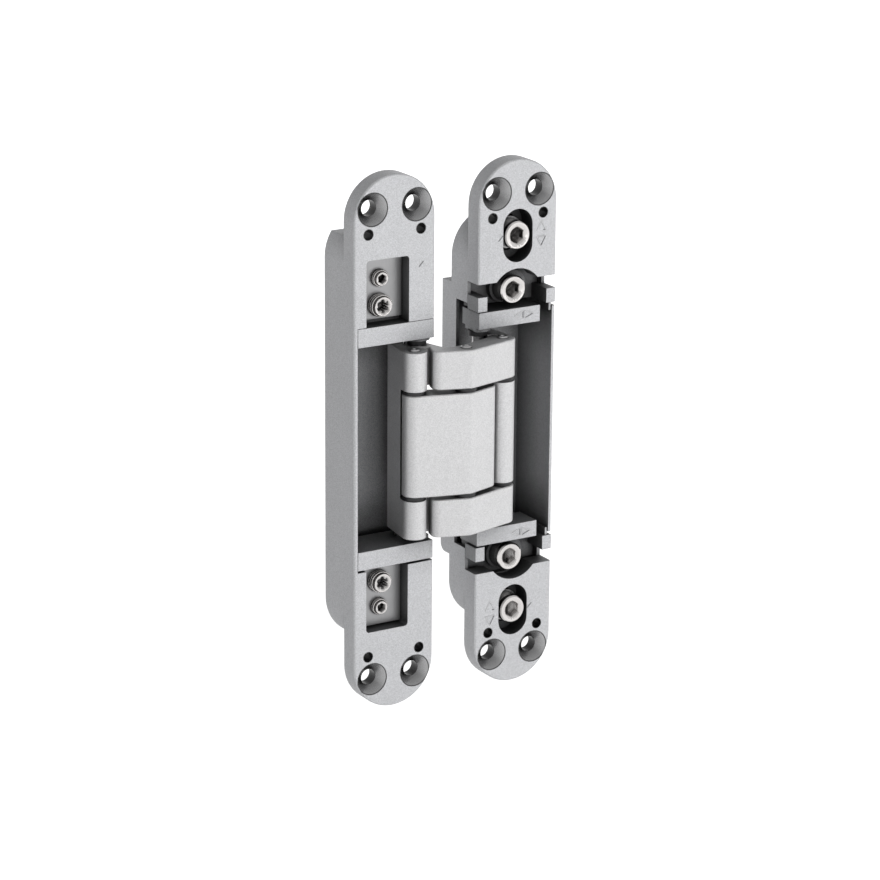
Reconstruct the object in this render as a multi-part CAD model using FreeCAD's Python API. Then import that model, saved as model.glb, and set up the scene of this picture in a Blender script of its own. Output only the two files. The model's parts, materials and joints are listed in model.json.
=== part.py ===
import FreeCAD, Part
import math
import os

from FreeCAD import Vector

# Concealed door hinge, opened flat. Millimetres.
# The origin is the centre of the frame leaf's face. +X runs towards the door leaf,
# +Y into the mortise and +Z up. Upper and lower halves mirror each other in Z.

# Leaves
LEAF_W = 26.5
LEAF_H = 160.0
LEAF_GAP = 14.7
FLANGE_T = 6.0
EDGE_BREAK = 0.4
OUTER_WALL = 1.15
SIDE_WALL = 1.1
BACK_WALL = 1.6
POCKET_DEPTH = 18.4
MOUTH_DEPTH = 12.2
DEEP_HALF_H = 42.0
DEEP_STEP = 1.9
DEEP_ROUND = 2.4

# Frame leaf housing: a rounded lower end, and an upper end cut off flat
FRAME_HOUSING_DEPTH = 17.1
FRAME_ARC_LOW = -49.0
FRAME_ARC_HIGH = 54.1
FRAME_HOUSING_TOP = 61.5

# Door leaf housing
DOOR_HOUSING_DEPTH = 15.0
DOOR_ARC = 50.0
WEB_T = 2.0
MOUTH_RISE = 1.6
SLOT_RIM = 1.6

# Screw and pilot holes of both leaves
SCREW_SPACING_X = 14.43
SCREW_END = 9.55
SCREW_HOLE_R = 2.4
SINK_R = 4.825
SINK_DEPTH = 2.4
PILOT_SPACING_X = 17.2
PILOT_END = 16.65
PILOT_R = 1.5

# Clearances
SLIDE_GAP = 0.15
LOWER_SHELF_GAP = 0.7
FIT = 0.05
WASHER_GAP = 0.05
BAY_SPARE = 0.6
SHELF_EAR_GAP = 0.4
FOOT_END_GAP = 0.6
RUN_GAP = 0.4
SCREW_GAP = 0.05

# Adjusting travel
DEPTH_TRAVEL = 1.0
HEIGHT_TRAVEL = 0.8
SIDE_TRAVEL_IN = 0.5
SIDE_TRAVEL_OUT = 2.5
TRAVEL_SPARE = 0.3

# Linkage: both sides of the fold mirror each other about the middle of the gap
FOLD_SHARE = 0.59
CLOSED_FACE_GAP = 4.0
CENTRE_Y = -5.5
BARREL_OFFSET = 14.85
BARREL_Y = -1.6
ARM_PIVOT_OFFSET = 10.35
FOLD_STEPS = 36

# Arms
ARM_TOP = 28.0
ARM_BOTTOM = 16.5
CENTRE_TOP = 15.3
BARREL_R = 3.6
HUB_R = 3.8
HUB_BACK = 2.6
KNUCKLE_R = 2.9
WING_R = 10.56
WING_FRONT_ANGLE = 182.2
WING_BACK_ANGLE = 148.0
NECK_OFFSET = 5.1
NECK_ROUND = 2.0
WING_ROUND = 2.6
CREASE_ROUND = 2.0
ARM_EDGE = 0.3

# Levers
EYE_R = 2.8
EYE_OPENING = 10.0
LEVER_SLOT_GAP = 0.1
BARREL_GAP = 0.5

# Pins and washers
ARM_PIN_R = 1.75
LEVER_PIN_R = 1.25
BARREL_PIN_R = 1.6
PIN_EDGE = 0.3
PIN_STAND = 0.6
PIN_SEAT = 4.5
DIMPLE_R = 0.8
DIMPLE_FLOOR_R = 0.3
DIMPLE_DEPTH = 0.4
WASHER_R = 3.3
PIVOT_WASHER_R = 2.85

# Frame bearing blocks and what they carry
SHELF_BOTTOM = 30.7
SHELF_TOP = 36.2
FRAME_SHELF_DEPTH = 13.5
BOSS_R = 3.9
BOSS_BOTTOM = 29.6
WINDOW_LEFT = -9.25
WINDOW_W = 14.0
WINDOW_TOP = 55.8
WINDOW_ROUND = 1.0
FOOT_BACK = 12.5
PLATE_FRONT = 4.0
PLATE_T = 1.5
PLATE_END_GAP = 1.3
DEPTH_SCREW_X = -3.1
DEPTH_SCREW_Z = 41.6
DEPTH_SCREW_R = 3.35
DEPTH_SCREW_STAND = 3.1
STAR_R = 1.35
STAR_LOBE_R = 0.5
LOCK_SCREW_X = -3.0
LOCK_SCREW_Z = 49.5
LOCK_SCREW_R = 2.5
LOCK_SCREW_STAND = 2.2
LOCK_SOCKET = 2.5
SET_SCREW_LENGTH = 8.0
SET_SOCKET_DEPTH = 2.2

# Door bearing blocks, height brackets and their bolts
DOOR_SHELF_W = 20.8
DOOR_SHELF_INSET = 0.6
DOOR_SHELF_FRONT = 0.3
DOOR_SHELF_BACK = 9.6
RIB_BACK = 13.0
RIB_INSET = 2.4
TAB_W = 11.0
TAB_MARGIN = 4.0
EAR_W = 3.1
EAR_BOTTOM = 36.0
EAR_TOP = 40.3
EAR_LIP_T = 0.7
EAR_LIP_DROP = 2.4
EAR_LIP_FRONT = 0.4
BRACKET_BAR_BACK = 10.0
PAD_HEIGHT = 2.0
PAD_RIM = 0.4
BRACKET_LAP = 1.0
BRACKET_PLATE_W = 15.0
BRACKET_PLATE_BACK = 11.2
BRACKET_PLATE_MARGIN = 3.2
FLANGE_END = 44.2
NOTCH_CHORD = 14.0
NOTCH_DEPTH = 3.4
BOLT_HEAD_R = 4.25
BOLT_HEAD_H = 5.0
BOLT_R = 2.5
BOLT_SOCKET = 4.0
BOLT_SOCKET_DEPTH = 2.6
SIDE_BOLT_Z = 41.0
SIDE_BOLT_OFFSET = -0.5
HEIGHT_BOLT_END = 22.6
HEIGHT_SLOT_W = 10.0
HEIGHT_SLOT_H = 15.8
BOLT_SLOT_W = 5.4
BOLT_WASHER_R = 4.75
BOLT_WASHER_T = 1.0

# Modelling allowances
OVERCUT = 1.0
FAR = 60.0
TINY = 1e-6

# Places worked out from the driving sizes
LEAF_PITCH = LEAF_W + LEAF_GAP
MID_X = LEAF_PITCH / 2
HALF_W = LEAF_W / 2
DOOR_INNER = LEAF_PITCH - HALF_W
DOOR_OUTER = LEAF_PITCH + HALF_W
POCKET_BACK = POCKET_DEPTH + BACK_WALL
WINDOW_RIGHT = WINDOW_LEFT + WINDOW_W
PLATE_BACK = PLATE_FRONT + PLATE_T
HEIGHT_BOLT_Z = LEAF_H / 2 - HEIGHT_BOLT_END
WEB_BACK = FLANGE_T + WEB_T
PIN_END = SHELF_BOTTOM + PIN_SEAT
FRAME_MOUTH_DEPTH = FRAME_SHELF_DEPTH + DEPTH_TRAVEL + SLIDE_GAP
WINDOW_DEPTH = FOOT_BACK + DEPTH_TRAVEL + TRAVEL_SPARE
FOOT_TOP = WINDOW_TOP - FOOT_END_GAP
DOOR_SHELF_TOP = EAR_BOTTOM - SHELF_EAR_GAP
TAB_TOP = SIDE_BOLT_Z + TAB_MARGIN
BRACKET_BAR_TOP = TAB_TOP + BRACKET_LAP
BRACKET_PLATE_TOP = HEIGHT_BOLT_Z + BRACKET_PLATE_MARGIN
BAY_DEPTH = RIB_BACK + BAY_SPARE
BAY_HALF_H = BRACKET_BAR_TOP + HEIGHT_TRAVEL + TRAVEL_SPARE
CHANNEL_DEPTH = BRACKET_PLATE_BACK + TRAVEL_SPARE


# Basic solids

def box(x, y, z):
    """Block between two limits along each axis."""
    return Part.makeBox(x[1] - x[0], y[1] - y[0], z[1] - z[0], Vector(x[0], y[0], z[0]))


def round_y(x, z, radius, y):
    """Cylinder along Y between two depths."""
    return Part.makeCylinder(radius, y[1] - y[0], Vector(x, y[0], z), Vector(0, 1, 0))


def round_z(centre, radius, z):
    """Upright cylinder between two heights."""
    return Part.makeCylinder(radius, z[1] - z[0], Vector(centre[0], centre[1], z[0]))


def slot_y(x, width, y, z):
    """Slot or rounded plate that runs along Z, with half-round ends, between two depths."""
    r = width / 2
    core = box((x - r, x + r), y, (z[0] + r, z[1] - r))
    ends = [round_y(x, z[0] + r, r, y), round_y(x, z[1] - r, r, y)]
    return core.fuse(ends).removeSplitter()


def slot_x(x, z, width, y):
    """Slot that runs along X, with half-round ends, between two depths."""
    r = width / 2
    core = box((x[0] + r, x[1] - r), y, (z - r, z + r))
    ends = [round_y(x[0] + r, z, r, y), round_y(x[1] - r, z, r, y)]
    return core.fuse(ends).removeSplitter()


def hexagon_y(x, z, flats, y):
    """Hexagonal prism along Y, given across its flats."""
    corner = flats / math.sqrt(3)
    angles = [math.radians(60 * i) for i in range(7)]
    points = [Vector(x + corner * math.sin(a), y[0], z + corner * math.cos(a)) for a in angles]
    return Part.Face(Part.makePolygon(points)).extrude(Vector(0, y[1] - y[0], 0))


def prism(start, steps, z):
    """Upright solid on a plan outline. A step is a point, or a pair of points for an arc."""
    edges = []
    here = Vector(start[0], start[1], z[0])
    for step in steps:
        if isinstance(step[0], tuple):
            through = Vector(step[0][0], step[0][1], z[0])
            end = Vector(step[1][0], step[1][1], z[0])
            edges.append(Part.Arc(here, through, end).toShape())
        else:
            end = Vector(step[0], step[1], z[0])
            edges.append(Part.makeLine(here, end))
        here = end
    return Part.Face(Part.Wire(edges)).extrude(Vector(0, 0, z[1] - z[0]))


def link_prism(first, first_r, second, second_r, z):
    """Upright solid round two circles and their common tangents."""
    run = (second[0] - first[0], second[1] - first[1])
    heading = math.degrees(math.atan2(run[1], run[0]))
    lean = math.degrees(math.acos((first_r - second_r) / math.hypot(*run)))
    start = polar(first, first_r, heading + lean)
    steps = [
        polar(second, second_r, heading + lean),
        (polar(second, second_r, heading), polar(second, second_r, heading - lean)),
        polar(first, first_r, heading - lean),
        (polar(first, first_r, heading + 180), start),
    ]
    return prism(start, steps, z)


def upright_edges(shape, points):
    """Edges of a solid that stand upright at the given plan points."""
    found = []
    for edge in shape.Edges:
        ends = [v.Point for v in edge.Vertexes]
        if len(ends) == 2 and abs(ends[0].z - ends[1].z) > TINY:
            for x, y in points:
                if all(math.hypot(p.x - x, p.y - y) < TINY for p in ends):
                    found.append(edge)
    return found


def rim_edges(shape, y):
    """Edges of a solid that lie wholly at a depth."""
    return [e for e in shape.Edges if all(abs(v.Point.y - y) < TINY for v in e.Vertexes)]


def flat_edges(shape, z):
    """Edges of a solid that lie wholly at one of the given heights."""
    return [e for e in shape.Edges
            if any(all(abs(v.Point.z - height) < TINY for v in e.Vertexes) for height in z)]


def mirror_z(shape):
    """The lower twin of an upper piece."""
    return shape.mirror(Vector(0, 0, 0), Vector(0, 0, 1))


def mirror_x(shape):
    """The twin of a piece on the other side of the fold."""
    return shape.mirror(Vector(MID_X, 0, 0), Vector(1, 0, 0))


def pair(upper):
    """An upper piece and its lower twin, as one group of separate solids."""
    return Part.makeCompound([upper, mirror_z(upper)])


def export(node, shape):
    """Write one piece."""
    shape.exportStep("parts/" + node + ".step")


# Plan geometry of the linkage

def polar(centre, radius, angle):
    """Point at an angle in degrees on a circle."""
    a = math.radians(angle)
    return (centre[0] + radius * math.cos(a), centre[1] + radius * math.sin(a))


def turned(point, centre, angle):
    """Point turned about a centre by an angle in degrees."""
    c = math.cos(math.radians(angle))
    s = math.sin(math.radians(angle))
    x = point[0] - centre[0]
    y = point[1] - centre[1]
    return (centre[0] + c * x - s * y, centre[1] + s * x + c * y)


def mirrored(point):
    """Plan point on the other side of the fold."""
    return (2 * MID_X - point[0], point[1])


def tangent(point, centre, radius, side):
    """Angle on a circle where a line from an outside point touches it."""
    run = (point[0] - centre[0], point[1] - centre[1])
    heading = math.degrees(math.atan2(run[1], run[0]))
    return heading + side * math.degrees(math.acos(radius / math.hypot(*run)))


def circle_centre(a, b, c):
    """Centre of the circle through three plan points."""
    bx, by = b[0] - a[0], b[1] - a[1]
    cx, cy = c[0] - a[0], c[1] - a[1]
    d = 2 * (bx * cy - by * cx)
    bb = bx * bx + by * by
    cc = cx * cx + cy * cy
    return (a[0] + (cy * bb - by * cc) / d, a[1] + (bx * cc - cx * bb) / d)


CENTRE = (MID_X, CENTRE_Y)
FRAME_BARREL = (MID_X - BARREL_OFFSET, BARREL_Y)
DOOR_BARREL = mirrored(FRAME_BARREL)
ARM_SWING = -180 * FOLD_SHARE


def frame_arm_pivot():
    """Pivot of the outer arms, set so that the faces close to the wanted gap."""
    c = math.cos(math.radians(ARM_SWING))
    s = math.sin(math.radians(ARM_SWING))
    y = (-CLOSED_FACE_GAP / 2 - s * ARM_PIVOT_OFFSET - c * CENTRE_Y) / (1 - c)
    return (MID_X - ARM_PIVOT_OFFSET, y)


FRAME_ARM = frame_arm_pivot()
DOOR_ARM = mirrored(FRAME_ARM)


def barrel_at(closing):
    """Place of the frame barrel at a closing angle: the door barrel's image in the fold."""
    swing = -FOLD_SHARE * closing
    hub = turned(CENTRE, FRAME_ARM, swing)
    twin = turned(DOOR_BARREL, FRAME_ARM, swing)
    fold = -90 - closing / 2
    away = turned(twin, hub, -fold)
    return turned((away[0], 2 * hub[1] - away[1]), hub, fold)


FRAME_LEVER = circle_centre(barrel_at(0), barrel_at(90), barrel_at(180))
DOOR_LEVER = mirrored(FRAME_LEVER)


def lever_heading(closing):
    """Direction from the frame barrel to the lever pivot, in degrees."""
    barrel = barrel_at(closing)
    return math.degrees(math.atan2(FRAME_LEVER[1] - barrel[1], FRAME_LEVER[0] - barrel[0]))


LEVER_REST = lever_heading(0)
LEVER_SWING = lever_heading(180) - LEVER_REST
LEVER_LENGTH = math.dist(FRAME_BARREL, FRAME_LEVER)


def lever_drift():
    """How far the lever pin strays in its eye, along the lever and across it."""
    along = []
    across = []
    for i in range(FOLD_STEPS + 1):
        closing = 180 * i / FOLD_STEPS
        barrel = barrel_at(closing)
        heading = LEVER_REST + LEVER_SWING * i / FOLD_STEPS
        local = turned((FRAME_LEVER[0] - barrel[0], FRAME_LEVER[1] - barrel[1]), (0, 0), -heading)
        along.append(local[0] - LEVER_LENGTH)
        across.append(local[1])
    return (min(along), max(along)), (min(across), max(across))


DRIFT_ALONG, DRIFT_ACROSS = lever_drift()


def in_lever(along, across):
    """Plan point given along and across the frame lever, from its pivot."""
    return turned((FRAME_LEVER[0] + along, FRAME_LEVER[1] + across), FRAME_LEVER, LEVER_REST)


# Leaf bodies

def flange(x):
    """Rounded face plate of a leaf, with its front edge broken."""
    plate = slot_y(x, LEAF_W, (0, FLANGE_T), (-LEAF_H / 2, LEAF_H / 2))
    return plate.makeChamfer(EDGE_BREAK, rim_edges(plate, 0))


def deep_box(x, housing_depth):
    """Deepest step of a housing, rounded at its lower end."""
    step = box(x, (FLANGE_T, POCKET_BACK), (-DEEP_HALF_H, DEEP_HALF_H))
    rim = [e for e in rim_edges(step, POCKET_BACK)
           if all(abs(v.Point.z + DEEP_HALF_H) < TINY for v in e.Vertexes)]
    return step.makeFillet(min(DEEP_ROUND, POCKET_BACK - housing_depth - TINY), rim)


def face_holes(x):
    """Countersunk screw holes and pilot holes of a leaf."""
    tools = []
    through = (-OVERCUT, POCKET_BACK + OVERCUT)
    for across in (-1, 1):
        for up in (-1, 1):
            sx = x + across * SCREW_SPACING_X / 2
            sz = up * (LEAF_H / 2 - SCREW_END)
            tools.append(round_y(sx, sz, SCREW_HOLE_R, through))
            tools.append(Part.makeCone(SINK_R, SCREW_HOLE_R, SINK_DEPTH, Vector(sx, 0, sz), Vector(0, 1, 0)))
            px = x + across * PILOT_SPACING_X / 2
            pz = up * (LEAF_H / 2 - PILOT_END)
            tools.append(round_y(px, pz, PILOT_R, through))
    return tools


def frame_leaf_body():
    """Frame leaf: face plate, stepped housing, arm pocket and two windows."""
    depth = (FLANGE_T, FRAME_HOUSING_DEPTH)
    housing = slot_y(0, LEAF_W, depth, (FRAME_ARC_LOW - HALF_W, FRAME_ARC_HIGH + HALF_W))
    above = box((-LEAF_W, LEAF_W), depth, (FRAME_HOUSING_TOP, LEAF_H))
    deep = deep_box((DEEP_STEP - HALF_W, HALF_W), FRAME_HOUSING_DEPTH)
    body = flange(0).fuse([housing.cut(above), deep]).removeSplitter()
    reach = (-SHELF_TOP - LOWER_SHELF_GAP, SHELF_TOP + SLIDE_GAP)
    pocket_right = HALF_W - SIDE_WALL
    pocket = box((OUTER_WALL - HALF_W, pocket_right), (-OVERCUT, FRAME_MOUTH_DEPTH), reach)
    deep_left = DEEP_STEP + OUTER_WALL - HALF_W
    deep_pocket = box((deep_left, pocket_right), (-OVERCUT, POCKET_DEPTH), reach)
    mouth = box((0, HALF_W + OVERCUT), (-OVERCUT, FRAME_MOUTH_DEPTH), reach)
    window = box((WINDOW_LEFT, WINDOW_RIGHT), (-OVERCUT, WINDOW_DEPTH), (0, WINDOW_TOP))
    corners = [e for e in window.Edges
               if abs(e.Vertexes[0].Point.y - e.Vertexes[1].Point.y) > TINY
               and abs(e.Vertexes[0].Point.z - WINDOW_TOP) < TINY]
    window = window.makeFillet(WINDOW_ROUND, corners)
    return body.cut([pocket, deep_pocket, mouth, window, mirror_z(window)] + face_holes(0))


def notch():
    """Shallow arc in the end of the door leaf's upper face plate, which clears the side bolt."""
    half = NOTCH_CHORD / 2
    radius = (half * half + NOTCH_DEPTH * NOTCH_DEPTH) / (2 * NOTCH_DEPTH)
    return round_y(LEAF_PITCH, FLANGE_END + NOTCH_DEPTH - radius, radius, (-OVERCUT, FLANGE_T))


def door_leaf_body():
    """Door leaf: two face plates, stepped housing, arm pocket, bracket bays and height slots."""
    slot_low = HEIGHT_BOLT_Z - HEIGHT_SLOT_H / 2
    slot_high = HEIGHT_BOLT_Z + HEIGHT_SLOT_H / 2
    slot_trim = (HEIGHT_SLOT_W - BOLT_SLOT_W) / 2
    depth = (FLANGE_T, DOOR_HOUSING_DEPTH)
    housing = slot_y(LEAF_PITCH, LEAF_W, depth, (-DOOR_ARC - HALF_W, DOOR_ARC + HALF_W))
    deep = deep_box((DOOR_INNER, DOOR_OUTER), DOOR_HOUSING_DEPTH)
    pad_w = HEIGHT_SLOT_W + 2 * SLOT_RIM
    pad = slot_y(LEAF_PITCH, pad_w, (FLANGE_T, WEB_BACK), (slot_low - SLOT_RIM, slot_high + SLOT_RIM))
    body = flange(LEAF_PITCH).fuse([housing, deep, pad, mirror_z(pad)]).removeSplitter()
    inside = (DOOR_INNER + SIDE_WALL, DOOR_OUTER - SIDE_WALL)
    pocket_end = DEEP_HALF_H - BACK_WALL
    mouth_end = EAR_BOTTOM + MOUTH_RISE
    tools = [
        box(inside, (-OVERCUT, POCKET_DEPTH), (-pocket_end, pocket_end)),
        box((DOOR_INNER - OVERCUT, LEAF_PITCH), (-OVERCUT, MOUTH_DEPTH), (-mouth_end, mouth_end)),
        box((DOOR_INNER - OVERCUT, LEAF_PITCH), (-OVERCUT, FLANGE_T), (-FLANGE_END, FLANGE_END)),
        box(inside, (-OVERCUT, FLANGE_T + OVERCUT), (-FLANGE_END, FLANGE_END)),
        box(inside, (FLANGE_T, BAY_DEPTH), (-BAY_HALF_H, BAY_HALF_H)),
    ]
    ear_room = EAR_BOTTOM - HEIGHT_TRAVEL - TRAVEL_SPARE
    channel_w = BRACKET_PLATE_W + 2 * TRAVEL_SPARE
    channel_end = BRACKET_PLATE_TOP + HEIGHT_TRAVEL + TRAVEL_SPARE
    bolt_slot = (slot_low + slot_trim, slot_high - slot_trim)
    upper = [
        box((LEAF_PITCH, DOOR_OUTER + OVERCUT), (-OVERCUT, FLANGE_T), (ear_room, FLANGE_END)),
        slot_y(LEAF_PITCH, channel_w, (WEB_BACK, CHANNEL_DEPTH), (0, channel_end)),
        slot_y(LEAF_PITCH, HEIGHT_SLOT_W, (-OVERCUT, FLANGE_T), (slot_low, slot_high)),
        slot_y(LEAF_PITCH, BOLT_SLOT_W, (-OVERCUT, WEB_BACK + OVERCUT), bolt_slot),
        notch(),
    ]
    tools += upper + [mirror_z(tool) for tool in upper]
    return body.cut(tools + face_holes(LEAF_PITCH))


# Frame side

def frame_bearing():
    """Upper frame bearing block: shelf with the pivot boss, and the foot behind the window."""
    right = HALF_W - SLIDE_GAP
    shelf = box((OUTER_WALL - HALF_W + SLIDE_GAP, right), (0, FRAME_SHELF_DEPTH), (SHELF_BOTTOM, SHELF_TOP))
    trim = box((-LEAF_W, right), (0, FRAME_SHELF_DEPTH), (BOSS_BOTTOM, SHELF_TOP))
    boss = round_z(FRAME_ARM, BOSS_R, (BOSS_BOTTOM, SHELF_BOTTOM)).common(trim)
    foot_x = (WINDOW_LEFT + SLIDE_GAP, WINDOW_RIGHT - SLIDE_GAP)
    foot = box(foot_x, (PLATE_BACK, FOOT_BACK), (SHELF_BOTTOM, FOOT_TOP))
    block = shelf.fuse([boss, foot]).removeSplitter()
    return block.cut(frame_pin_holes() + [
        round_y(DEPTH_SCREW_X, DEPTH_SCREW_Z, DEPTH_SCREW_R + SCREW_GAP, (0, FOOT_BACK + OVERCUT)),
        round_y(LOCK_SCREW_X, LOCK_SCREW_Z, LOCK_SCREW_R + SCREW_GAP, (0, FOOT_BACK + OVERCUT)),
    ])


def frame_pin_holes():
    """Blind seats of the arm pin and the lever pin in the upper frame bearing block."""
    seat = (BOSS_BOTTOM - OVERCUT, PIN_END + FIT)
    return [round_z(FRAME_ARM, ARM_PIN_R + FIT, seat), round_z(FRAME_LEVER, LEVER_PIN_R + FIT, seat)]


def guide_plate():
    """Upper steel plate in the frame leaf's window."""
    x = (WINDOW_LEFT + SLIDE_GAP, WINDOW_RIGHT - SLIDE_GAP)
    plate = box(x, (PLATE_FRONT, PLATE_BACK), (SHELF_TOP + PLATE_END_GAP, FOOT_TOP))
    return plate.cut([
        round_y(DEPTH_SCREW_X, DEPTH_SCREW_Z, DEPTH_SCREW_R + SCREW_GAP, (0, FOOT_BACK)),
        round_y(LOCK_SCREW_X, LOCK_SCREW_Z, LOCK_SCREW_R + SCREW_GAP, (0, FOOT_BACK)),
    ])


def set_screw(x, z, radius, stand):
    """Headless screw that stands out of the guide plate, with its front edge broken."""
    front = PLATE_FRONT - stand
    screw = round_y(x, z, radius, (front, front + SET_SCREW_LENGTH))
    return screw.makeChamfer(EDGE_BREAK, rim_edges(screw, front))


def depth_screw():
    """Upper depth screw, with a six-lobed socket."""
    front = PLATE_FRONT - DEPTH_SCREW_STAND
    socket = (front - OVERCUT, front + SET_SOCKET_DEPTH)
    lobes = [round_y(DEPTH_SCREW_X + STAR_R * math.sin(math.radians(a)),
                     DEPTH_SCREW_Z + STAR_R * math.cos(math.radians(a)), STAR_LOBE_R, socket)
             for a in range(0, 360, 60)]
    screw = set_screw(DEPTH_SCREW_X, DEPTH_SCREW_Z, DEPTH_SCREW_R, DEPTH_SCREW_STAND)
    return screw.cut([round_y(DEPTH_SCREW_X, DEPTH_SCREW_Z, STAR_R, socket)] + lobes)


def lock_screw():
    """Upper lock screw, with a hexagon socket."""
    front = PLATE_FRONT - LOCK_SCREW_STAND
    socket = hexagon_y(LOCK_SCREW_X, LOCK_SCREW_Z, LOCK_SOCKET, (front - OVERCUT, front + SET_SOCKET_DEPTH))
    return set_screw(LOCK_SCREW_X, LOCK_SCREW_Z, LOCK_SCREW_R, LOCK_SCREW_STAND).cut(socket)


# Linkage

def arm_solid(z):
    """Arm with a knuckle on the frame side, a hub in the middle and a barrel on the door side."""
    crease = (CENTRE[0], CENTRE[1] - HUB_R)
    hub_back = (CENTRE[0], CENTRE[1] + HUB_BACK)
    neck = (CENTRE[0] - NECK_OFFSET, CENTRE[1] + HUB_BACK)
    wing_front = polar(CENTRE, WING_R, WING_FRONT_ANGLE)
    wing_back = polar(CENTRE, WING_R, WING_BACK_ANGLE)
    barrel_front = tangent(crease, DOOR_BARREL, BARREL_R, 1) - 360
    barrel_back = tangent(hub_back, DOOR_BARREL, BARREL_R, -1)
    knuckle_inner = tangent(neck, FRAME_ARM, KNUCKLE_R, 1)
    knuckle_outer = tangent(wing_back, FRAME_ARM, KNUCKLE_R, -1) + 360
    barrel_mid = (barrel_front + barrel_back) / 2 % 360
    steps = [
        crease,
        polar(DOOR_BARREL, BARREL_R, barrel_front),
        (polar(DOOR_BARREL, BARREL_R, barrel_mid), polar(DOOR_BARREL, BARREL_R, barrel_back)),
        hub_back,
        neck,
        polar(FRAME_ARM, KNUCKLE_R, knuckle_inner),
        (polar(FRAME_ARM, KNUCKLE_R, (knuckle_inner + knuckle_outer) / 2),
         polar(FRAME_ARM, KNUCKLE_R, knuckle_outer)),
        wing_back,
        (polar(CENTRE, WING_R, (WING_FRONT_ANGLE + WING_BACK_ANGLE) / 2), wing_front),
    ]
    arm = prism(wing_front, steps, z)
    arm = arm.makeFillet(CREASE_ROUND, upright_edges(arm, [crease]))
    arm = arm.makeFillet(NECK_ROUND, upright_edges(arm, [neck]))
    arm = arm.makeFillet(WING_ROUND, upright_edges(arm, [wing_front]))
    return arm.makeChamfer(ARM_EDGE, flat_edges(arm, z))


def arm_holes():
    """Pin holes of an arm, through all levels."""
    z = (-ARM_TOP - OVERCUT, ARM_TOP + OVERCUT)
    return [
        round_z(FRAME_ARM, ARM_PIN_R + FIT, z),
        round_z(CENTRE, BARREL_PIN_R + FIT, z),
        round_z(DOOR_BARREL, BARREL_PIN_R + FIT, z),
    ]


def outer_arm():
    """Upper outer arm."""
    return arm_solid((ARM_BOTTOM, ARM_TOP)).cut(arm_holes())


def centre_arm():
    """Centre arm: the outer arms' form turned round to the door side."""
    return mirror_x(arm_solid((-CENTRE_TOP, CENTRE_TOP)).cut(arm_holes()))


def lever_barrel_level(z):
    """Level of the frame lever with its barrel; the web keeps clear of the arm's knuckle."""
    blank = link_prism(FRAME_BARREL, BARREL_R, lever_eye(), EYE_R, z)
    limit = FRAME_ARM[0] - KNUCKLE_R - RUN_GAP
    beside = box((limit, FAR), (-FAR, FAR), z)
    barrel = round_z(FRAME_BARREL, BARREL_R, z)
    return blank.cut(beside).fuse(barrel).removeSplitter()


def lever_fork_level(z):
    """Level of the frame lever that passes behind the other arm's barrel."""
    blank = link_prism(FRAME_BARREL, BARREL_R, lever_eye(), EYE_R, z)
    beside = box((FRAME_ARM[0] - ARM_PIN_R - RUN_GAP, FAR), (-FAR, FAR), z)
    round_barrel = round_z(FRAME_BARREL, BARREL_R + BARREL_GAP, z)
    hub_back = (CENTRE[0], CENTRE[1] + HUB_BACK)
    lie = tangent(hub_back, FRAME_BARREL, BARREL_R, 1) - 90
    swing = ARM_SWING * (1 / FOLD_SHARE - 1) - LEVER_SWING
    arm_room = box((FRAME_BARREL[0], FAR), (-FAR, FRAME_BARREL[1] + BARREL_R + BARREL_GAP), z)
    pivot = Vector(FRAME_BARREL[0], FRAME_BARREL[1], 0)
    arm_room.rotate(pivot, Vector(0, 0, 1), lie + swing)
    return blank.cut([beside, round_barrel, arm_room])


def lever_eye():
    """Centre of the lever's eye, in the middle of the pin's drift."""
    return in_lever(sum(DRIFT_ALONG) / 2, sum(DRIFT_ACROSS) / 2)


def lever_slot():
    """Slot of the lever's eye, open towards the arm pin."""
    z = (-ARM_TOP - OVERCUT, ARM_TOP + OVERCUT)
    along = sum(DRIFT_ALONG) / 2
    radius = LEVER_PIN_R + (DRIFT_ALONG[1] - DRIFT_ALONG[0]) / 2 + LEVER_SLOT_GAP
    closed_end = in_lever(along, DRIFT_ACROSS[1])
    open_end = in_lever(along, -EYE_OPENING)
    return link_prism(closed_end, radius, open_end, radius, z)


def lever(barrel_levels, fork_levels):
    """Lever with its barrel at some levels and its fork at the others."""
    levels = [lever_barrel_level(z) for z in barrel_levels]
    levels += [lever_fork_level(z) for z in fork_levels]
    hole = round_z(FRAME_BARREL, BARREL_PIN_R + FIT, (-ARM_TOP - OVERCUT, ARM_TOP + OVERCUT))
    return levels[0].fuse(levels[1:]).removeSplitter().cut([lever_slot(), hole])


def frame_lever():
    """Frame lever: barrels above and below the centre arm's barrel."""
    outer = (ARM_BOTTOM, ARM_TOP)
    return lever([outer, (-outer[1], -outer[0])], [(-ARM_BOTTOM, ARM_BOTTOM)])


def door_lever():
    """Door lever: one barrel between those of the outer arms."""
    outer = (CENTRE_TOP, ARM_TOP)
    return mirror_x(lever([(-CENTRE_TOP, CENTRE_TOP)], [outer, (-outer[1], -outer[0])]))


def pin(centre, radius, top):
    """Plain pin through all levels, with its ends broken and centre-marked."""
    body = round_z(centre, radius, (-top, top))
    body = body.makeChamfer(PIN_EDGE, flat_edges(body, (-top, top)))
    end = Vector(centre[0], centre[1], top)
    dimple = Part.makeCone(DIMPLE_R, DIMPLE_FLOOR_R, DIMPLE_DEPTH, end, Vector(0, 0, -1))
    return body.cut([dimple, mirror_z(dimple)])


def washer(centre, radius, pin_r, z):
    """Flat washer between two heights, with running room above and below."""
    level = (z[0] + WASHER_GAP, z[1] - WASHER_GAP)
    return round_z(centre, radius, level).cut(round_z(centre, pin_r + FIT, level))


# Door side

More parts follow.
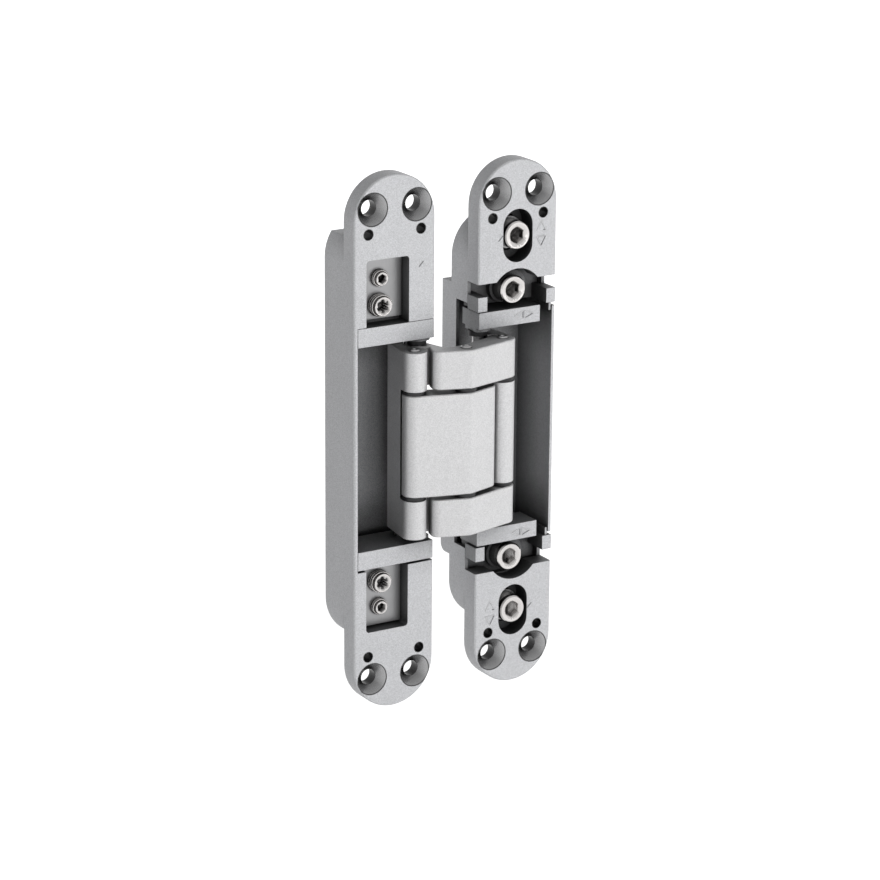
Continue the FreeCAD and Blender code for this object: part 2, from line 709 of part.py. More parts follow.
def socket_bolt(x, z, front, tip):
    """Socket-head bolt along Y, with the rim of its head broken."""
    head = round_y(x, z, BOLT_HEAD_R, (front, front + BOLT_HEAD_H))
    head = head.makeChamfer(EDGE_BREAK, rim_edges(head, front))
    shank = round_y(x, z, BOLT_R, (front, tip))
    socket = hexagon_y(x, z, BOLT_SOCKET, (front - OVERCUT, front + BOLT_SOCKET_DEPTH))
    return head.fuse(shank).removeSplitter().cut(socket)


def side_bolt_x():
    """Place of the side bolts across the door leaf."""
    return LEAF_PITCH + SIDE_BOLT_OFFSET


def door_bearing():
    """Upper door bearing block: shelf with the pivot boss, and the tab behind the bracket."""
    left = DOOR_INNER + DOOR_SHELF_INSET
    x = (left, left + DOOR_SHELF_W)
    y = (DOOR_SHELF_FRONT, DOOR_SHELF_BACK)
    shelf = box(x, y, (SHELF_BOTTOM, DOOR_SHELF_TOP))
    trim = box((left, DOOR_OUTER), y, (BOSS_BOTTOM, SHELF_BOTTOM))
    boss = round_z(DOOR_ARM, BOSS_R, (BOSS_BOTTOM, SHELF_BOTTOM)).common(trim)
    tab_x = (side_bolt_x() - TAB_W / 2, side_bolt_x() + TAB_W / 2)
    rib = box((left + RIB_INSET, tab_x[1]), (FLANGE_T, RIB_BACK), (SHELF_BOTTOM, DOOR_SHELF_TOP))
    tab = box(tab_x, (BRACKET_BAR_BACK + SLIDE_GAP, RIB_BACK), (SHELF_BOTTOM, TAB_TOP))
    block = shelf.fuse([boss, rib, tab]).removeSplitter()
    seat = (BOSS_BOTTOM - OVERCUT, PIN_END + FIT)
    return block.cut([
        round_z(DOOR_ARM, ARM_PIN_R + FIT, seat),
        round_z(DOOR_LEVER, LEVER_PIN_R + FIT, seat),
        round_y(side_bolt_x(), SIDE_BOLT_Z, BOLT_R + SCREW_GAP, (0, RIB_BACK + OVERCUT)),
    ])


def height_bracket():
    """Upper height bracket: two ears, a bar with the side bolt's pad, and a plate behind the height slot."""
    seat = FLANGE_T + SLIDE_GAP
    inside = (DOOR_INNER + SIDE_WALL + SLIDE_GAP, DOOR_OUTER - SIDE_WALL - SLIDE_GAP)
    ears = []
    for edge, inner in ((DOOR_INNER, 1), (DOOR_OUTER, -1)):
        x = sorted((edge, edge + inner * EAR_W))
        ears.append(box(x, (0, FLANGE_T - SLIDE_GAP), (EAR_BOTTOM, EAR_TOP)))
        lug_x = sorted((edge + inner * (SIDE_WALL + SLIDE_GAP), edge + inner * EAR_W))
        ears.append(box(lug_x, (0, BRACKET_BAR_BACK), (EAR_BOTTOM, EAR_TOP)))
    lip_x = (inside[1] - EAR_LIP_T, inside[1])
    lip_y = (EAR_LIP_FRONT, FLANGE_T - SLIDE_GAP)
    ears.append(box(lip_x, lip_y, (EAR_BOTTOM - EAR_LIP_DROP, EAR_TOP)))
    bar = box(inside, (seat + PAD_HEIGHT, BRACKET_BAR_BACK), (EAR_BOTTOM, BRACKET_BAR_TOP))
    pad_r = BOLT_HEAD_R + PAD_RIM
    pad_x = (side_bolt_x() - pad_r - SIDE_TRAVEL_IN, side_bolt_x() + pad_r + SIDE_TRAVEL_OUT)
    pad = slot_x(pad_x, SIDE_BOLT_Z, 2 * pad_r, (seat, BRACKET_BAR_BACK))
    plate_y = (WEB_BACK + SLIDE_GAP, BRACKET_PLATE_BACK)
    plate = slot_y(LEAF_PITCH, BRACKET_PLATE_W, plate_y, (0, BRACKET_PLATE_TOP))
    below = box((0, FAR), (0, POCKET_BACK), (-FAR, TAB_TOP + TRAVEL_SPARE))
    bracket = bar.fuse(ears + [pad, plate.cut(below)]).removeSplitter()
    bolt_slot = (side_bolt_x() - BOLT_SLOT_W / 2 - SIDE_TRAVEL_IN,
                 side_bolt_x() + BOLT_SLOT_W / 2 + SIDE_TRAVEL_OUT)
    return bracket.cut([
        slot_x(bolt_slot, SIDE_BOLT_Z, BOLT_SLOT_W, (0, BRACKET_BAR_BACK + OVERCUT)),
        round_y(LEAF_PITCH, HEIGHT_BOLT_Z, BOLT_R + SCREW_GAP, (0, POCKET_BACK)),
    ])


def side_bolt():
    """Upper side bolt, through the bracket into the bearing block's tab."""
    front = FLANGE_T + SLIDE_GAP - BOLT_HEAD_H
    return socket_bolt(side_bolt_x(), SIDE_BOLT_Z, front, RIB_BACK)


def bolt_washer():
    """Upper round washer under the height bolt's head."""
    y = (FLANGE_T - BOLT_WASHER_T, FLANGE_T)
    ring = round_y(LEAF_PITCH, HEIGHT_BOLT_Z, BOLT_WASHER_R, y)
    return ring.cut(round_y(LEAF_PITCH, HEIGHT_BOLT_Z, BOLT_R + SCREW_GAP, y))


def height_bolt():
    """Upper height bolt, through the leaf's slot into the bracket's plate."""
    front = FLANGE_T - BOLT_WASHER_T - BOLT_HEAD_H
    return socket_bolt(LEAF_PITCH, HEIGHT_BOLT_Z, front, BRACKET_PLATE_BACK)


# All pieces by node

os.makedirs("parts", exist_ok=True)

export("frame_leaf_body", frame_leaf_body())
export("door_leaf_body", door_leaf_body())

TWINS = {
    "frame_bearing": frame_bearing(),
    "guide_plate": guide_plate(),
    "outer_arm": outer_arm(),
    "door_bearing": door_bearing(),
    "height_bracket": height_bracket(),
}
for name, upper in TWINS.items():
    export("upper_" + name, upper)
    export("lower_" + name, mirror_z(upper))

PAIRS = {
    "depth_screws": depth_screw(),
    "lock_screws": lock_screw(),
    "frame_pivot_washers": washer(FRAME_ARM, PIVOT_WASHER_R, ARM_PIN_R, (ARM_TOP, BOSS_BOTTOM)),
    "door_pivot_washers": washer(DOOR_ARM, PIVOT_WASHER_R, ARM_PIN_R, (ARM_TOP, BOSS_BOTTOM)),
    "centre_thrust_washers": washer(CENTRE, WASHER_R, BARREL_PIN_R, (CENTRE_TOP, ARM_BOTTOM)),
    "frame_barrel_washers": washer(FRAME_BARREL, WASHER_R, BARREL_PIN_R, (CENTRE_TOP, ARM_BOTTOM)),
    "door_barrel_washers": washer(DOOR_BARREL, WASHER_R, BARREL_PIN_R, (CENTRE_TOP, ARM_BOTTOM)),
    "side_bolts": side_bolt(),
    "height_bolts": height_bolt(),
    "bolt_washers": bolt_washer(),
}
for name, upper in PAIRS.items():
    export(name, pair(upper))

export("centre_arm", centre_arm())
export("frame_lever", frame_lever())
export("door_lever", door_lever())

PINS = {
    "centre_pin": pin(CENTRE, BARREL_PIN_R, ARM_TOP + PIN_STAND),
    "frame_barrel_pin": pin(FRAME_BARREL, BARREL_PIN_R, ARM_TOP + PIN_STAND),
    "door_barrel_pin": pin(DOOR_BARREL, BARREL_PIN_R, ARM_TOP + PIN_STAND),
    "frame_arm_pin": pin(FRAME_ARM, ARM_PIN_R, PIN_END),
    "frame_lever_pin": pin(FRAME_LEVER, LEVER_PIN_R, PIN_END),
    "door_arm_pin": pin(DOOR_ARM, ARM_PIN_R, PIN_END),
    "door_lever_pin": pin(DOOR_LEVER, LEVER_PIN_R, PIN_END),
}
for name, shape in PINS.items():
    export(name, shape)
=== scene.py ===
import json
import logging
import math
from dataclasses import dataclass
from enum import Enum
from typing import Any, Iterable

import bmesh
import bpy
from mathutils import Matrix, Vector


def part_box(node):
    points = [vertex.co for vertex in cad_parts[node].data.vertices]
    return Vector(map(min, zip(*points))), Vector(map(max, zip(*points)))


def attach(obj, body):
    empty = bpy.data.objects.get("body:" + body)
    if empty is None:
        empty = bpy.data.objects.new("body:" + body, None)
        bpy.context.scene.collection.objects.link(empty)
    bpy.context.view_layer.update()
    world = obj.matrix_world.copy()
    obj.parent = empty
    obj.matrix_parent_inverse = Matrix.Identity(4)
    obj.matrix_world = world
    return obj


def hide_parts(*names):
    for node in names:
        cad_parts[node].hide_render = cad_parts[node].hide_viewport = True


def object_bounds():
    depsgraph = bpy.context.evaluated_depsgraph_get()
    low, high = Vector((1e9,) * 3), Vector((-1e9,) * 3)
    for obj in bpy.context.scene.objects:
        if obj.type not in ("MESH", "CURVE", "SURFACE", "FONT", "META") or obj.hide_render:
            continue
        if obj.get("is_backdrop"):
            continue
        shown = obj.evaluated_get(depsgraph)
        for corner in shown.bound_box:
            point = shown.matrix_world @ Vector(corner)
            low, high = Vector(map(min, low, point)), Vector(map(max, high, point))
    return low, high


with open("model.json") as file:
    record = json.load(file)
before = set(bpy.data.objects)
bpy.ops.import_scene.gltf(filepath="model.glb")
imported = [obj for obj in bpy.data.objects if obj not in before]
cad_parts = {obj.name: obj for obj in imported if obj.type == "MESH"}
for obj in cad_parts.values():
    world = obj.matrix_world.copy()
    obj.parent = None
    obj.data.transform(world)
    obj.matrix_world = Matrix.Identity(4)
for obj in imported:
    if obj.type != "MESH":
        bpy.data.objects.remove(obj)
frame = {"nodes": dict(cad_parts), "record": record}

# Looks of the concealed hinge. Metres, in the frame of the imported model.

LOG = logging.getLogger("hinge")
MM = 0.001

Colour = tuple[float, float, float]
Point = tuple[float, float, float]
Spot = tuple[float, float]
Socket = bpy.types.NodeSocket
Node = bpy.types.Node
NodeTree = bpy.types.NodeTree


class Body(Enum):
    """Moving bodies that added pieces ride on."""

    FRAME_LEAF = "frame_leaf"
    FRAME_CARRIAGE = "frame_carriage"
    DOOR_CARRIAGE = "door_carriage"
    HEIGHT_BRACKETS = "height_brackets"
    DOOR_LEAF = "door_leaf"


class Slot(Enum):
    """Material slots of the record."""

    LEAF_CASTING = "leaf_casting"
    BLOCK_CASTING = "block_casting"
    ARM_CASTING = "arm_casting"
    GUIDE_STEEL = "guide_steel"
    NICKEL_SCREW = "nickel_screw"
    PIN_STEEL = "pin_steel"
    BLACK_WASHER = "black_washer"


class Trim(Enum):
    """Looks of the fine pieces that only the scene adds: painted highlight and painted shadow
    strokes, and screw threads.
    """

    PAINTED_HIGHLIGHT_STROKE = "painted_highlight_stroke"
    PAINTED_SHADOW_STROKE = "painted_shadow_stroke"
    SCREW_THREAD = "screw_thread"


class NodeBench:
    """Short hand for building a node tree."""

    def __init__(self, tree: NodeTree) -> None:
        """Start on an empty tree.

        Args:
            tree: The node tree to fill.
        """
        self.tree = tree
        self.tree.nodes.clear()

    def add(self, kind: str, feeds: dict[Any, Any] | None = None, **settings: Any) -> Node:
        """Add a node, set its properties and feed its inputs.

        Args:
            kind: Blender's type name of the node.
            feeds: Output sockets or plain values for its inputs, by name or place.
            settings: Properties of the node by name.

        Returns:
            The new node.
        """
        node = self.tree.nodes.new(kind)
        for name, value in settings.items():
            setattr(node, name, value)
        for target, source in (feeds or {}).items():
            self.feed(node.inputs[target], source)
        return node

    def feed(self, target: Socket, source: Any) -> None:
        """Link an output to an input, or set the input to a constant.

        Args:
            target: Input socket.
            source: Output socket, or a plain value.
        """
        if isinstance(source, Socket):
            self.tree.links.new(source, target)
        else:
            target.default_value = source

    def math(self, operation: str, *values: Any, clamp: bool = False) -> Socket:
        """Add a math node.

        Args:
            operation: Blender's name of the operation.
            values: Its inputs, as sockets or numbers.
            clamp: Whether the result is kept within 0 and 1.

        Returns:
            The node's output socket.
        """
        feeds = dict(enumerate(values))
        return self.add("ShaderNodeMath", feeds, operation=operation, use_clamp=clamp).outputs[0]

    def spread(self, value: Socket, low: Any, high: Any, span: Spot | None = None) -> Socket:
        """Stretch a value over a wanted range.

        Args:
            value: Socket with the value.
            low: Result at the start of the span.
            high: Result at its end.
            span: Span of a smooth change. Without it the change is even, from 0 to 1.

        Returns:
            The stretched value's socket.
        """
        start, end = span or (0.0, 1.0)
        return self.add("ShaderNodeMapRange", {
            "Value": value,
            "From Min": start,
            "From Max": end,
            "To Min": low,
            "To Max": high,
        }, interpolation_type="SMOOTHSTEP" if span else "LINEAR").outputs["Result"]

    def scaled_colour(self, colour: Any, gain: Socket) -> Socket:
        """Multiply a colour, or a socket that gives one, by a value."""
        feeds = {0: colour, "Scale": gain}
        return self.add("ShaderNodeVectorMath", feeds, operation="SCALE").outputs["Vector"]

    def mixed_value(self, share: Any, first: Any, second: Any) -> Socket:
        """Mix two values by the share of the second."""
        feeds = {0: share, 2: first, 3: second}
        return self.add("ShaderNodeMix", feeds, data_type="FLOAT").outputs[0]

    def mixed_colour(self, share: Any, first: Any, second: Any) -> Socket:
        """Mix two colours by the share of the second."""
        feeds = {0: share, 6: first, 7: second}
        return self.add("ShaderNodeMix", feeds, data_type="RGBA").outputs[2]

    def effect(self, group: NodeTree, values: dict[str, float]) -> Node:
        """Place a shared group with its own values."""
        return self.add("ShaderNodeGroup", values, node_tree=group)

    def object_place(self) -> Socket:
        """Place on the piece, in its object's coordinates."""
        return self.add("ShaderNodeTexCoord").outputs["Object"]


class EffectLibrary:
    """Shader node groups that several finishes share, each built once."""

    GRAIN_DETAIL = 4.0
    CLOUD_DETAIL = 3.0
    LINE_DETAIL = 3.0
    EDGE_SAMPLES = 4
    EDGE_GAIN = 6.0
    PAINTED_SHADE_SAMPLES = 8

    def __init__(self) -> None:
        """Build every group."""
        self.grain = self._grain()
        self.flakes = self._flakes()
        self.edges = self._edges()
        self.brushing = self._brushing()
        self.painted_shade_group = self._painted_shade_group()
        self.sinks = self._sinks()

    @staticmethod
    def _group(
        name: str, inputs: dict[str, float], values: Iterable[str], normals: Iterable[str] = ()
    ) -> tuple[NodeBench, Node, Node]:
        """Make an empty group with its sockets.

        Args:
            name: Name of the group.
            inputs: Value inputs with their defaults.
            values: Names of the outputs that are values.
            normals: Names of the outputs that are normals.

        Returns:
            Bench with the group's tree, and the nodes of its inputs and outputs.
        """
        tree = bpy.data.node_groups.new(name, "ShaderNodeTree")
        face = tree.interface
        for label, value in inputs.items():
            socket = face.new_socket(label, in_out="INPUT", socket_type="NodeSocketFloat")
            socket.default_value = value
        for labels, kind in ((values, "NodeSocketFloat"), (normals, "NodeSocketVector")):
            for label in labels:
                face.new_socket(label, in_out="OUTPUT", socket_type=kind)
        bench = NodeBench(tree)
        return bench, bench.add("NodeGroupInput"), bench.add("NodeGroupOutput")

    def _grain(self) -> NodeTree:
        """Fine cast grain over a broad, cloudy change of tone.

        Returns:
            The group's tree.
        """
        bench, entry, leave = self._group(
            "cast_grain", {"Grain Scale": 2500.0, "Cloud Scale": 60.0}, ("Grain", "Cloud")
        )
        place = bench.object_place()
        for label, detail in (("Grain", self.GRAIN_DETAIL), ("Cloud", self.CLOUD_DETAIL)):
            scale = entry.outputs[label + " Scale"]
            feeds = {"Vector": place, "Scale": scale, "Detail": detail}
            noise = bench.add("ShaderNodeTexNoise", feeds)
            bench.feed(leave.inputs[label], noise.outputs["Fac"])
        return bench.tree

    def _flakes(self) -> NodeTree:
        """Small metal flakes, each with its own brightness.

        Returns:
            The group's tree.
        """
        bench, entry, leave = self._group(
            "metal_flakes", {"Scale": 2600.0, "Low": 0.9, "High": 1.1}, ("Gain",)
        )
        feeds = {"Vector": bench.object_place(), "Scale": entry.outputs["Scale"]}
        cells = bench.add("ShaderNodeTexVoronoi", feeds)
        parts = bench.add("ShaderNodeSeparateColor", {"Color": cells.outputs["Color"]})
        gain = bench.spread(parts.outputs["Red"], entry.outputs["Low"], entry.outputs["High"])
        bench.feed(leave.inputs["Gain"], gain)
        return bench.tree

    def _edges(self) -> NodeTree:
        """Softened edges, and a mask of where they are lighter, partly from wear and partly as a
        painted highlight.

        Returns:
            The group's tree.
        """
        bench, entry, leave = self._group(
            "worn_and_highlit_edges", {"Radius": 0.2 * MM}, ("Mask",), ("Normal",)
        )
        feeds = {"Radius": entry.outputs["Radius"]}
        bevel = bench.add("ShaderNodeBevel", feeds, samples=self.EDGE_SAMPLES)
        flat = bench.add("ShaderNodeNewGeometry").outputs["Normal"]
        feeds = {0: bevel.outputs["Normal"], 1: flat}
        turn = bench.add("ShaderNodeVectorMath", feeds, operation="DOT_PRODUCT")
        away = bench.math("SUBTRACT", 1.0, turn.outputs["Value"], clamp=True)
        bench.feed(leave.inputs["Mask"], bench.math("MULTIPLY", away, self.EDGE_GAIN, clamp=True))
        bench.feed(leave.inputs["Normal"], bevel.outputs["Normal"])
        return bench.tree

    def _brushing(self) -> NodeTree:
        """Fine lines of brushed or ground steel that run along Z.

        Returns:
            The group's tree.
        """
        bench, entry, leave = self._group(
            "brushed_lines", {"Across": 9000.0, "Along": 250.0}, ("Lines",)
        )
        across, along = entry.outputs["Across"], entry.outputs["Along"]
        stretch = bench.add("ShaderNodeCombineXYZ", {"X": across, "Y": across, "Z": along})
        feeds = {0: bench.object_place(), 1: stretch.outputs["Vector"]}
        product = bench.add("ShaderNodeVectorMath", feeds, operation="MULTIPLY")
        feeds = {"Vector": product.outputs["Vector"], "Scale": 1.0, "Detail": self.LINE_DETAIL}
        noise = bench.add("ShaderNodeTexNoise", feeds)
        bench.feed(leave.inputs["Lines"], noise.outputs["Fac"])
        return bench.tree

    def _painted_shade_group(self) -> NodeTree:
        """Painted shade: a gain on the base colour, from ambient occlusion, that falls off between
        parts, in sockets and in sunken corners.

        Returns:
            The group's tree.
        """
        bench, entry, leave = self._group(
            "painted_crevice_shade", {"Reach": 6.0 * MM, "Depth": 1.0, "Floor": 0.2}, ("Gain",)
        )
        feeds = {"Distance": entry.outputs["Reach"]}
        near = bench.add("ShaderNodeAmbientOcclusion", feeds, samples=self.PAINTED_SHADE_SAMPLES)
        clear = bench.math("POWER", near.outputs["AO"], entry.outputs["Depth"])
        bench.feed(leave.inputs["Gain"], bench.spread(clear, entry.outputs["Floor"], 1.0))
        return bench.tree

    @staticmethod
    def _folded(bench: NodeBench, value: Socket, middle: Socket) -> Socket:
        """Distance of a value from a middle."""
        return bench.math("ABSOLUTE", bench.math("SUBTRACT", value, middle))

    def _sinks(self) -> NodeTree:
        """Masks of the turned holes in both leaves, of the thin edge where a painted shade line
        goes, and their fine turning rings.

        Returns:
            The group's tree.
        """
        bench, entry, leave = self._group(
            "turned_sinks",
            {
                "Pitch": 41.2 * MM,
                "Across": 14.4 * MM,
                "Upright": 140.9 * MM,
                "Radius": 4.8 * MM,
                "Depth": 2.4 * MM,
                "Bore": 2.4 * MM,
                "Rim": 0.15 * MM,
                "Rings": 26000.0,
            },
            ("Mask", "Cone", "Rim", "Ring"),
        )
        place = bench.add("ShaderNodeSeparateXYZ", {0: bench.object_place()})
        spans = (entry.outputs[label] for label in ("Pitch", "Across", "Upright"))
        half_pitch, half_width, half_height = (bench.math("MULTIPLY", span, 0.5) for span in spans)
        across = self._folded(bench, place.outputs["X"], half_pitch)
        across = self._folded(bench, across, half_pitch)
        across = self._folded(bench, across, half_width)
        upright = self._folded(bench, bench.math("ABSOLUTE", place.outputs["Z"]), half_height)
        squares = (bench.math("MULTIPLY", side, side) for side in (across, upright))
        radius = bench.math("SQRT", bench.math("ADD", *squares))
        sunk = bench.math("GREATER_THAN", place.outputs["Y"], entry.outputs["Depth"])
        reach = bench.mixed_value(sunk, entry.outputs["Radius"], entry.outputs["Bore"])
        inside = bench.math("LESS_THAN", radius, reach)
        bench.feed(leave.inputs["Mask"], inside)
        bench.feed(leave.inputs["Cone"], bench.math("SUBTRACT", inside, sunk, clamp=True))
        from_rim = self._folded(bench, radius, entry.outputs["Radius"])
        at_rim = bench.math("LESS_THAN", from_rim, entry.outputs["Rim"])
        in_front = bench.math("LESS_THAN", place.outputs["Y"], entry.outputs["Rim"])
        bench.feed(leave.inputs["Rim"], bench.math("MULTIPLY", at_rim, in_front))
        turns = bench.math("MULTIPLY", place.outputs["Y"], entry.outputs["Rings"])
        wave = bench.math("SINE", turns)
        bench.feed(leave.inputs["Ring"], bench.math("MULTIPLY_ADD", wave, 0.5, 0.5))
        return bench.tree


@dataclass(frozen=True)
class Surface:
    """What a finish feeds into the end of its tree, as sockets or numbers."""

    colour: Any
    roughness: Any
    relief: Any
    metallic: Any


@dataclass(frozen=True)
class Finish:
    """Common values of every finish, and the end of its node tree."""

    name: str
    colour: Colour
    metallic: float
    roughness: float
    roughness_spread: float = 0.06
    bump: float = 0.01 * MM
    edge_radius: float = 0.2 * MM
    edge_wear_and_highlight: float = 0.25
    edge_wear_and_highlight_colour: Colour = (0.8, 0.8, 0.8)
    # Reach, strength and floor of the painted shade that darkens the colour between parts and in
    # hollows.
    painted_shade_reach: float = 6.0 * MM
    painted_shade_depth: float = 1.5
    painted_shade_floor: float = 0.12

    def material(self, effects: EffectLibrary) -> bpy.types.Material:
        """Build the material.

        Args:
            effects: Shared node groups.

        Returns:
            The finished material.
        """
        made = bpy.data.materials.new(self.name)
        made.use_nodes = True
        bench = NodeBench(made.node_tree)
        surface = self.pattern(bench, effects)
        edges = bench.effect(effects.edges, {"Radius": self.edge_radius})
        # Edges lightened partly as real wear and partly as a painted highlight.
        wear_and_highlight_share = bench.math("MULTIPLY", edges.outputs["Mask"], self.edge_wear_and_highlight)
        coated = bench.mixed_colour(wear_and_highlight_share, surface.colour, (*self.edge_wear_and_highlight_colour, 1.0))
        # Painted shade: the colour is darkened where ambient occlusion finds surfaces close by.
        painted_shade_node = bench.effect(effects.painted_shade_group, {
            "Reach": self.painted_shade_reach,
            "Depth": self.painted_shade_depth,
            "Floor": self.painted_shade_floor,
        })
        relief = bench.add("ShaderNodeBump", {
            "Distance": self.bump,
            "Height": surface.relief,
            "Normal": edges.outputs["Normal"],
        })
        shader = bench.add("ShaderNodeBsdfPrincipled", {
            "Base Color": bench.scaled_colour(coated, painted_shade_node.outputs["Gain"]),
            "Metallic": surface.metallic,
            "Roughness": surface.roughness,
            "Normal": relief.outputs["Normal"],
        })
        bench.add("ShaderNodeOutputMaterial", {"Surface": shader.outputs["BSDF"]})
        return made

    def roughened(self, bench: NodeBench, value: Socket) -> Socket:
        """Roughness that varies about its mean with a value from 0 to 1."""
        spread = self.roughness_spread
        return bench.spread(value, self.roughness - spread, self.roughness + spread)

    def pattern(self, bench: NodeBench, effects: EffectLibrary) -> Surface:
        """Build what varies over the finish.

        Args:
            bench: The material's tree.
            effects: Shared node groups.

        Returns:
            Sockets and numbers for the end of the tree.
        """
        raise NotImplementedError


@dataclass(frozen=True)
class SmoothFinish(Finish):
    """Bright plating or plain plastic with a faint cloudiness."""

    grain_scale: float = 1500.0
    cloud_scale: float = 250.0
    cloud_depth: float = 0.05

    def pattern(self, bench: NodeBench, effects: EffectLibrary) -> Surface:
        """Clouds for colour and roughness, grain for the relief.

        Args:
            bench: The material's tree.
            effects: Shared node groups.

        Returns:
            Sockets and numbers for the end of the tree.
        """
        grain, cloud, gain = self.clouded(bench, effects)
        rough = self.roughened(bench, cloud)
        return Surface(bench.scaled_colour(self.colour, gain), rough, grain, self.metallic)

    def clouded(self, bench: NodeBench, effects: EffectLibrary) -> tuple[Socket, Socket, Socket]:
        """Place the grain.

        Args:
            bench: The material's tree.
            effects: Shared node groups.

        Returns:
            Grain, clouds, and the clouds as a gain about 1.
        """
        scales = {"Grain Scale": self.grain_scale, "Cloud Scale": self.cloud_scale}
        grain = bench.effect(effects.grain, scales)
        cloud = grain.outputs["Cloud"]
        gain = bench.spread(cloud, 1.0 - self.cloud_depth, 1.0 + self.cloud_depth)
        return grain.outputs["Grain"], cloud, gain


@dataclass(frozen=True)
class CastFinish(SmoothFinish):
    """Satin coating with metal flakes on a die-casting."""

    grain_scale: float = 2500.0
    cloud_scale: float = 60.0
    cloud_depth: float = 0.04
    flake_scale: float = 5000.0
    flake_depth: float = 0.16

    def pattern(self, bench: NodeBench, effects: EffectLibrary) -> Surface:
        """Flakes and clouds for the colour, grain for the rest.

        Args:
            bench: The material's tree.
            effects: Shared node groups.

        Returns:
            Sockets and numbers for the end of the tree.
        """
        grain, _, cloudy = self.clouded(bench, effects)
        flakes = bench.effect(effects.flakes, {
            "Scale": self.flake_scale,
            "Low": 1.0 - self.flake_depth,
            "High": 1.0 + self.flake_depth,
        })
        gain = bench.math("MULTIPLY", flakes.outputs["Gain"], cloudy)
        rough = self.roughened(bench, grain)
        return Surface(bench.scaled_colour(self.colour, gain), rough, grain, self.metallic)


@dataclass(frozen=True)
class LeafFinish(CastFinish):
    """Coated casting with bare metal in its countersinks and pilot holes, with painted shade in
    the bores.
    """

    sink_radius: float = 4.84 * MM
    sink_depth: float = 2.42 * MM
    mask_spare: float = 0.02 * MM
    bare_colour: Colour = (0.50, 0.50, 0.505)
    bare_roughness: float = 0.26
    painted_bore_shade: float = 0.4
    painted_rim_shade_colour: Colour = (0.07, 0.07, 0.07)
    ring_depth: float = 0.08

    def pattern(self, bench: NodeBench, effects: EffectLibrary) -> Surface:
        """Coating on the faces, turned metal in the holes, and a painted shade line round their
        rims.

        Args:
            bench: The material's tree.
            effects: Shared node groups.

        Returns:
            Sockets and numbers for the end of the tree.
        """
        coat = super().pattern(bench, effects)
        sinks = self._holes(bench, effects, "screws", self.sink_radius)
        pilots = self._holes(bench, effects, "pilots", 0.0)
        mask = bench.math("MAXIMUM", sinks.outputs["Mask"], pilots.outputs["Mask"])
        rings = bench.spread(sinks.outputs["Ring"], 1.0 - self.ring_depth, 1.0 + self.ring_depth)
        # Painted shade: the bare metal past the cones, in the bores and pilot holes, is darkened.
        bore_shade_gain = bench.mixed_value(sinks.outputs["Cone"], self.painted_bore_shade, 1.0)
        gain = bench.math("MULTIPLY", rings, bore_shade_gain)
        base = bench.mixed_colour(mask, coat.colour, bench.scaled_colour(self.bare_colour, gain))
        # Painted shade: a dark line round the front edge of each countersink and pilot hole.
        painted_rim_shade = bench.math("MAXIMUM", sinks.outputs["Rim"], pilots.outputs["Rim"])
        return Surface(
            bench.mixed_colour(painted_rim_shade, base, (*self.painted_rim_shade_colour, 1.0)),
            bench.mixed_value(mask, coat.roughness, self.bare_roughness),
            coat.relief,
            bench.mixed_value(mask, self.metallic, 1.0),
        )

    def _holes(
        self, bench: NodeBench, effects: EffectLibrary, kind: str, radius: float
    ) -> Node:
        """Mask of one kind of hole, at the places that the record gives.

        Args:
            bench: The material's tree.
            effects: Shared node groups.
            kind: Last word of the record's names for these holes.
            radius: Radius of the countersinks, or nothing for plain holes.

        Returns:
            The group's node.
        """
        mounts = {mount["name"]: mount for mount in frame["record"]["mounts"]}
        spacing = mounts["frame_" + kind]["dims"]
        bore = spacing["hole_r_mm"] * MM + self.mask_spare
        return bench.effect(effects.sinks, {
            "Pitch": mounts["door_" + kind]["pos_m"][0],
            "Across": spacing["spacing_x_mm"] * MM,
            "Upright": spacing["spacing_y_mm"] * MM,
            "Radius": max(radius, bore),
            "Depth": self.sink_depth,
            "Bore": bore,
        })


@dataclass(frozen=True)
class SteelFinish(Finish):
    """Brushed or ground steel."""

    across: float = 9000.0
    along: float = 250.0
    line_depth: float = 0.10

    def pattern(self, bench: NodeBench, effects: EffectLibrary) -> Surface:
        """Fine lines for colour, roughness and relief.

        Args:
            bench: The material's tree.
            effects: Shared node groups.

        Returns:
            Sockets and numbers for the end of the tree.
        """
        lines = bench.effect(effects.brushing, {"Across": self.across, "Along": self.along})
        value = lines.outputs["Lines"]
        gain = bench.spread(value, 1.0 - self.line_depth, 1.0 + self.line_depth)
        colour = bench.scaled_colour(self.colour, gain)
        return Surface(colour, self.roughened(bench, value), value, self.metallic)


COAT_COLOUR: Colour = (0.52, 0.524, 0.538)

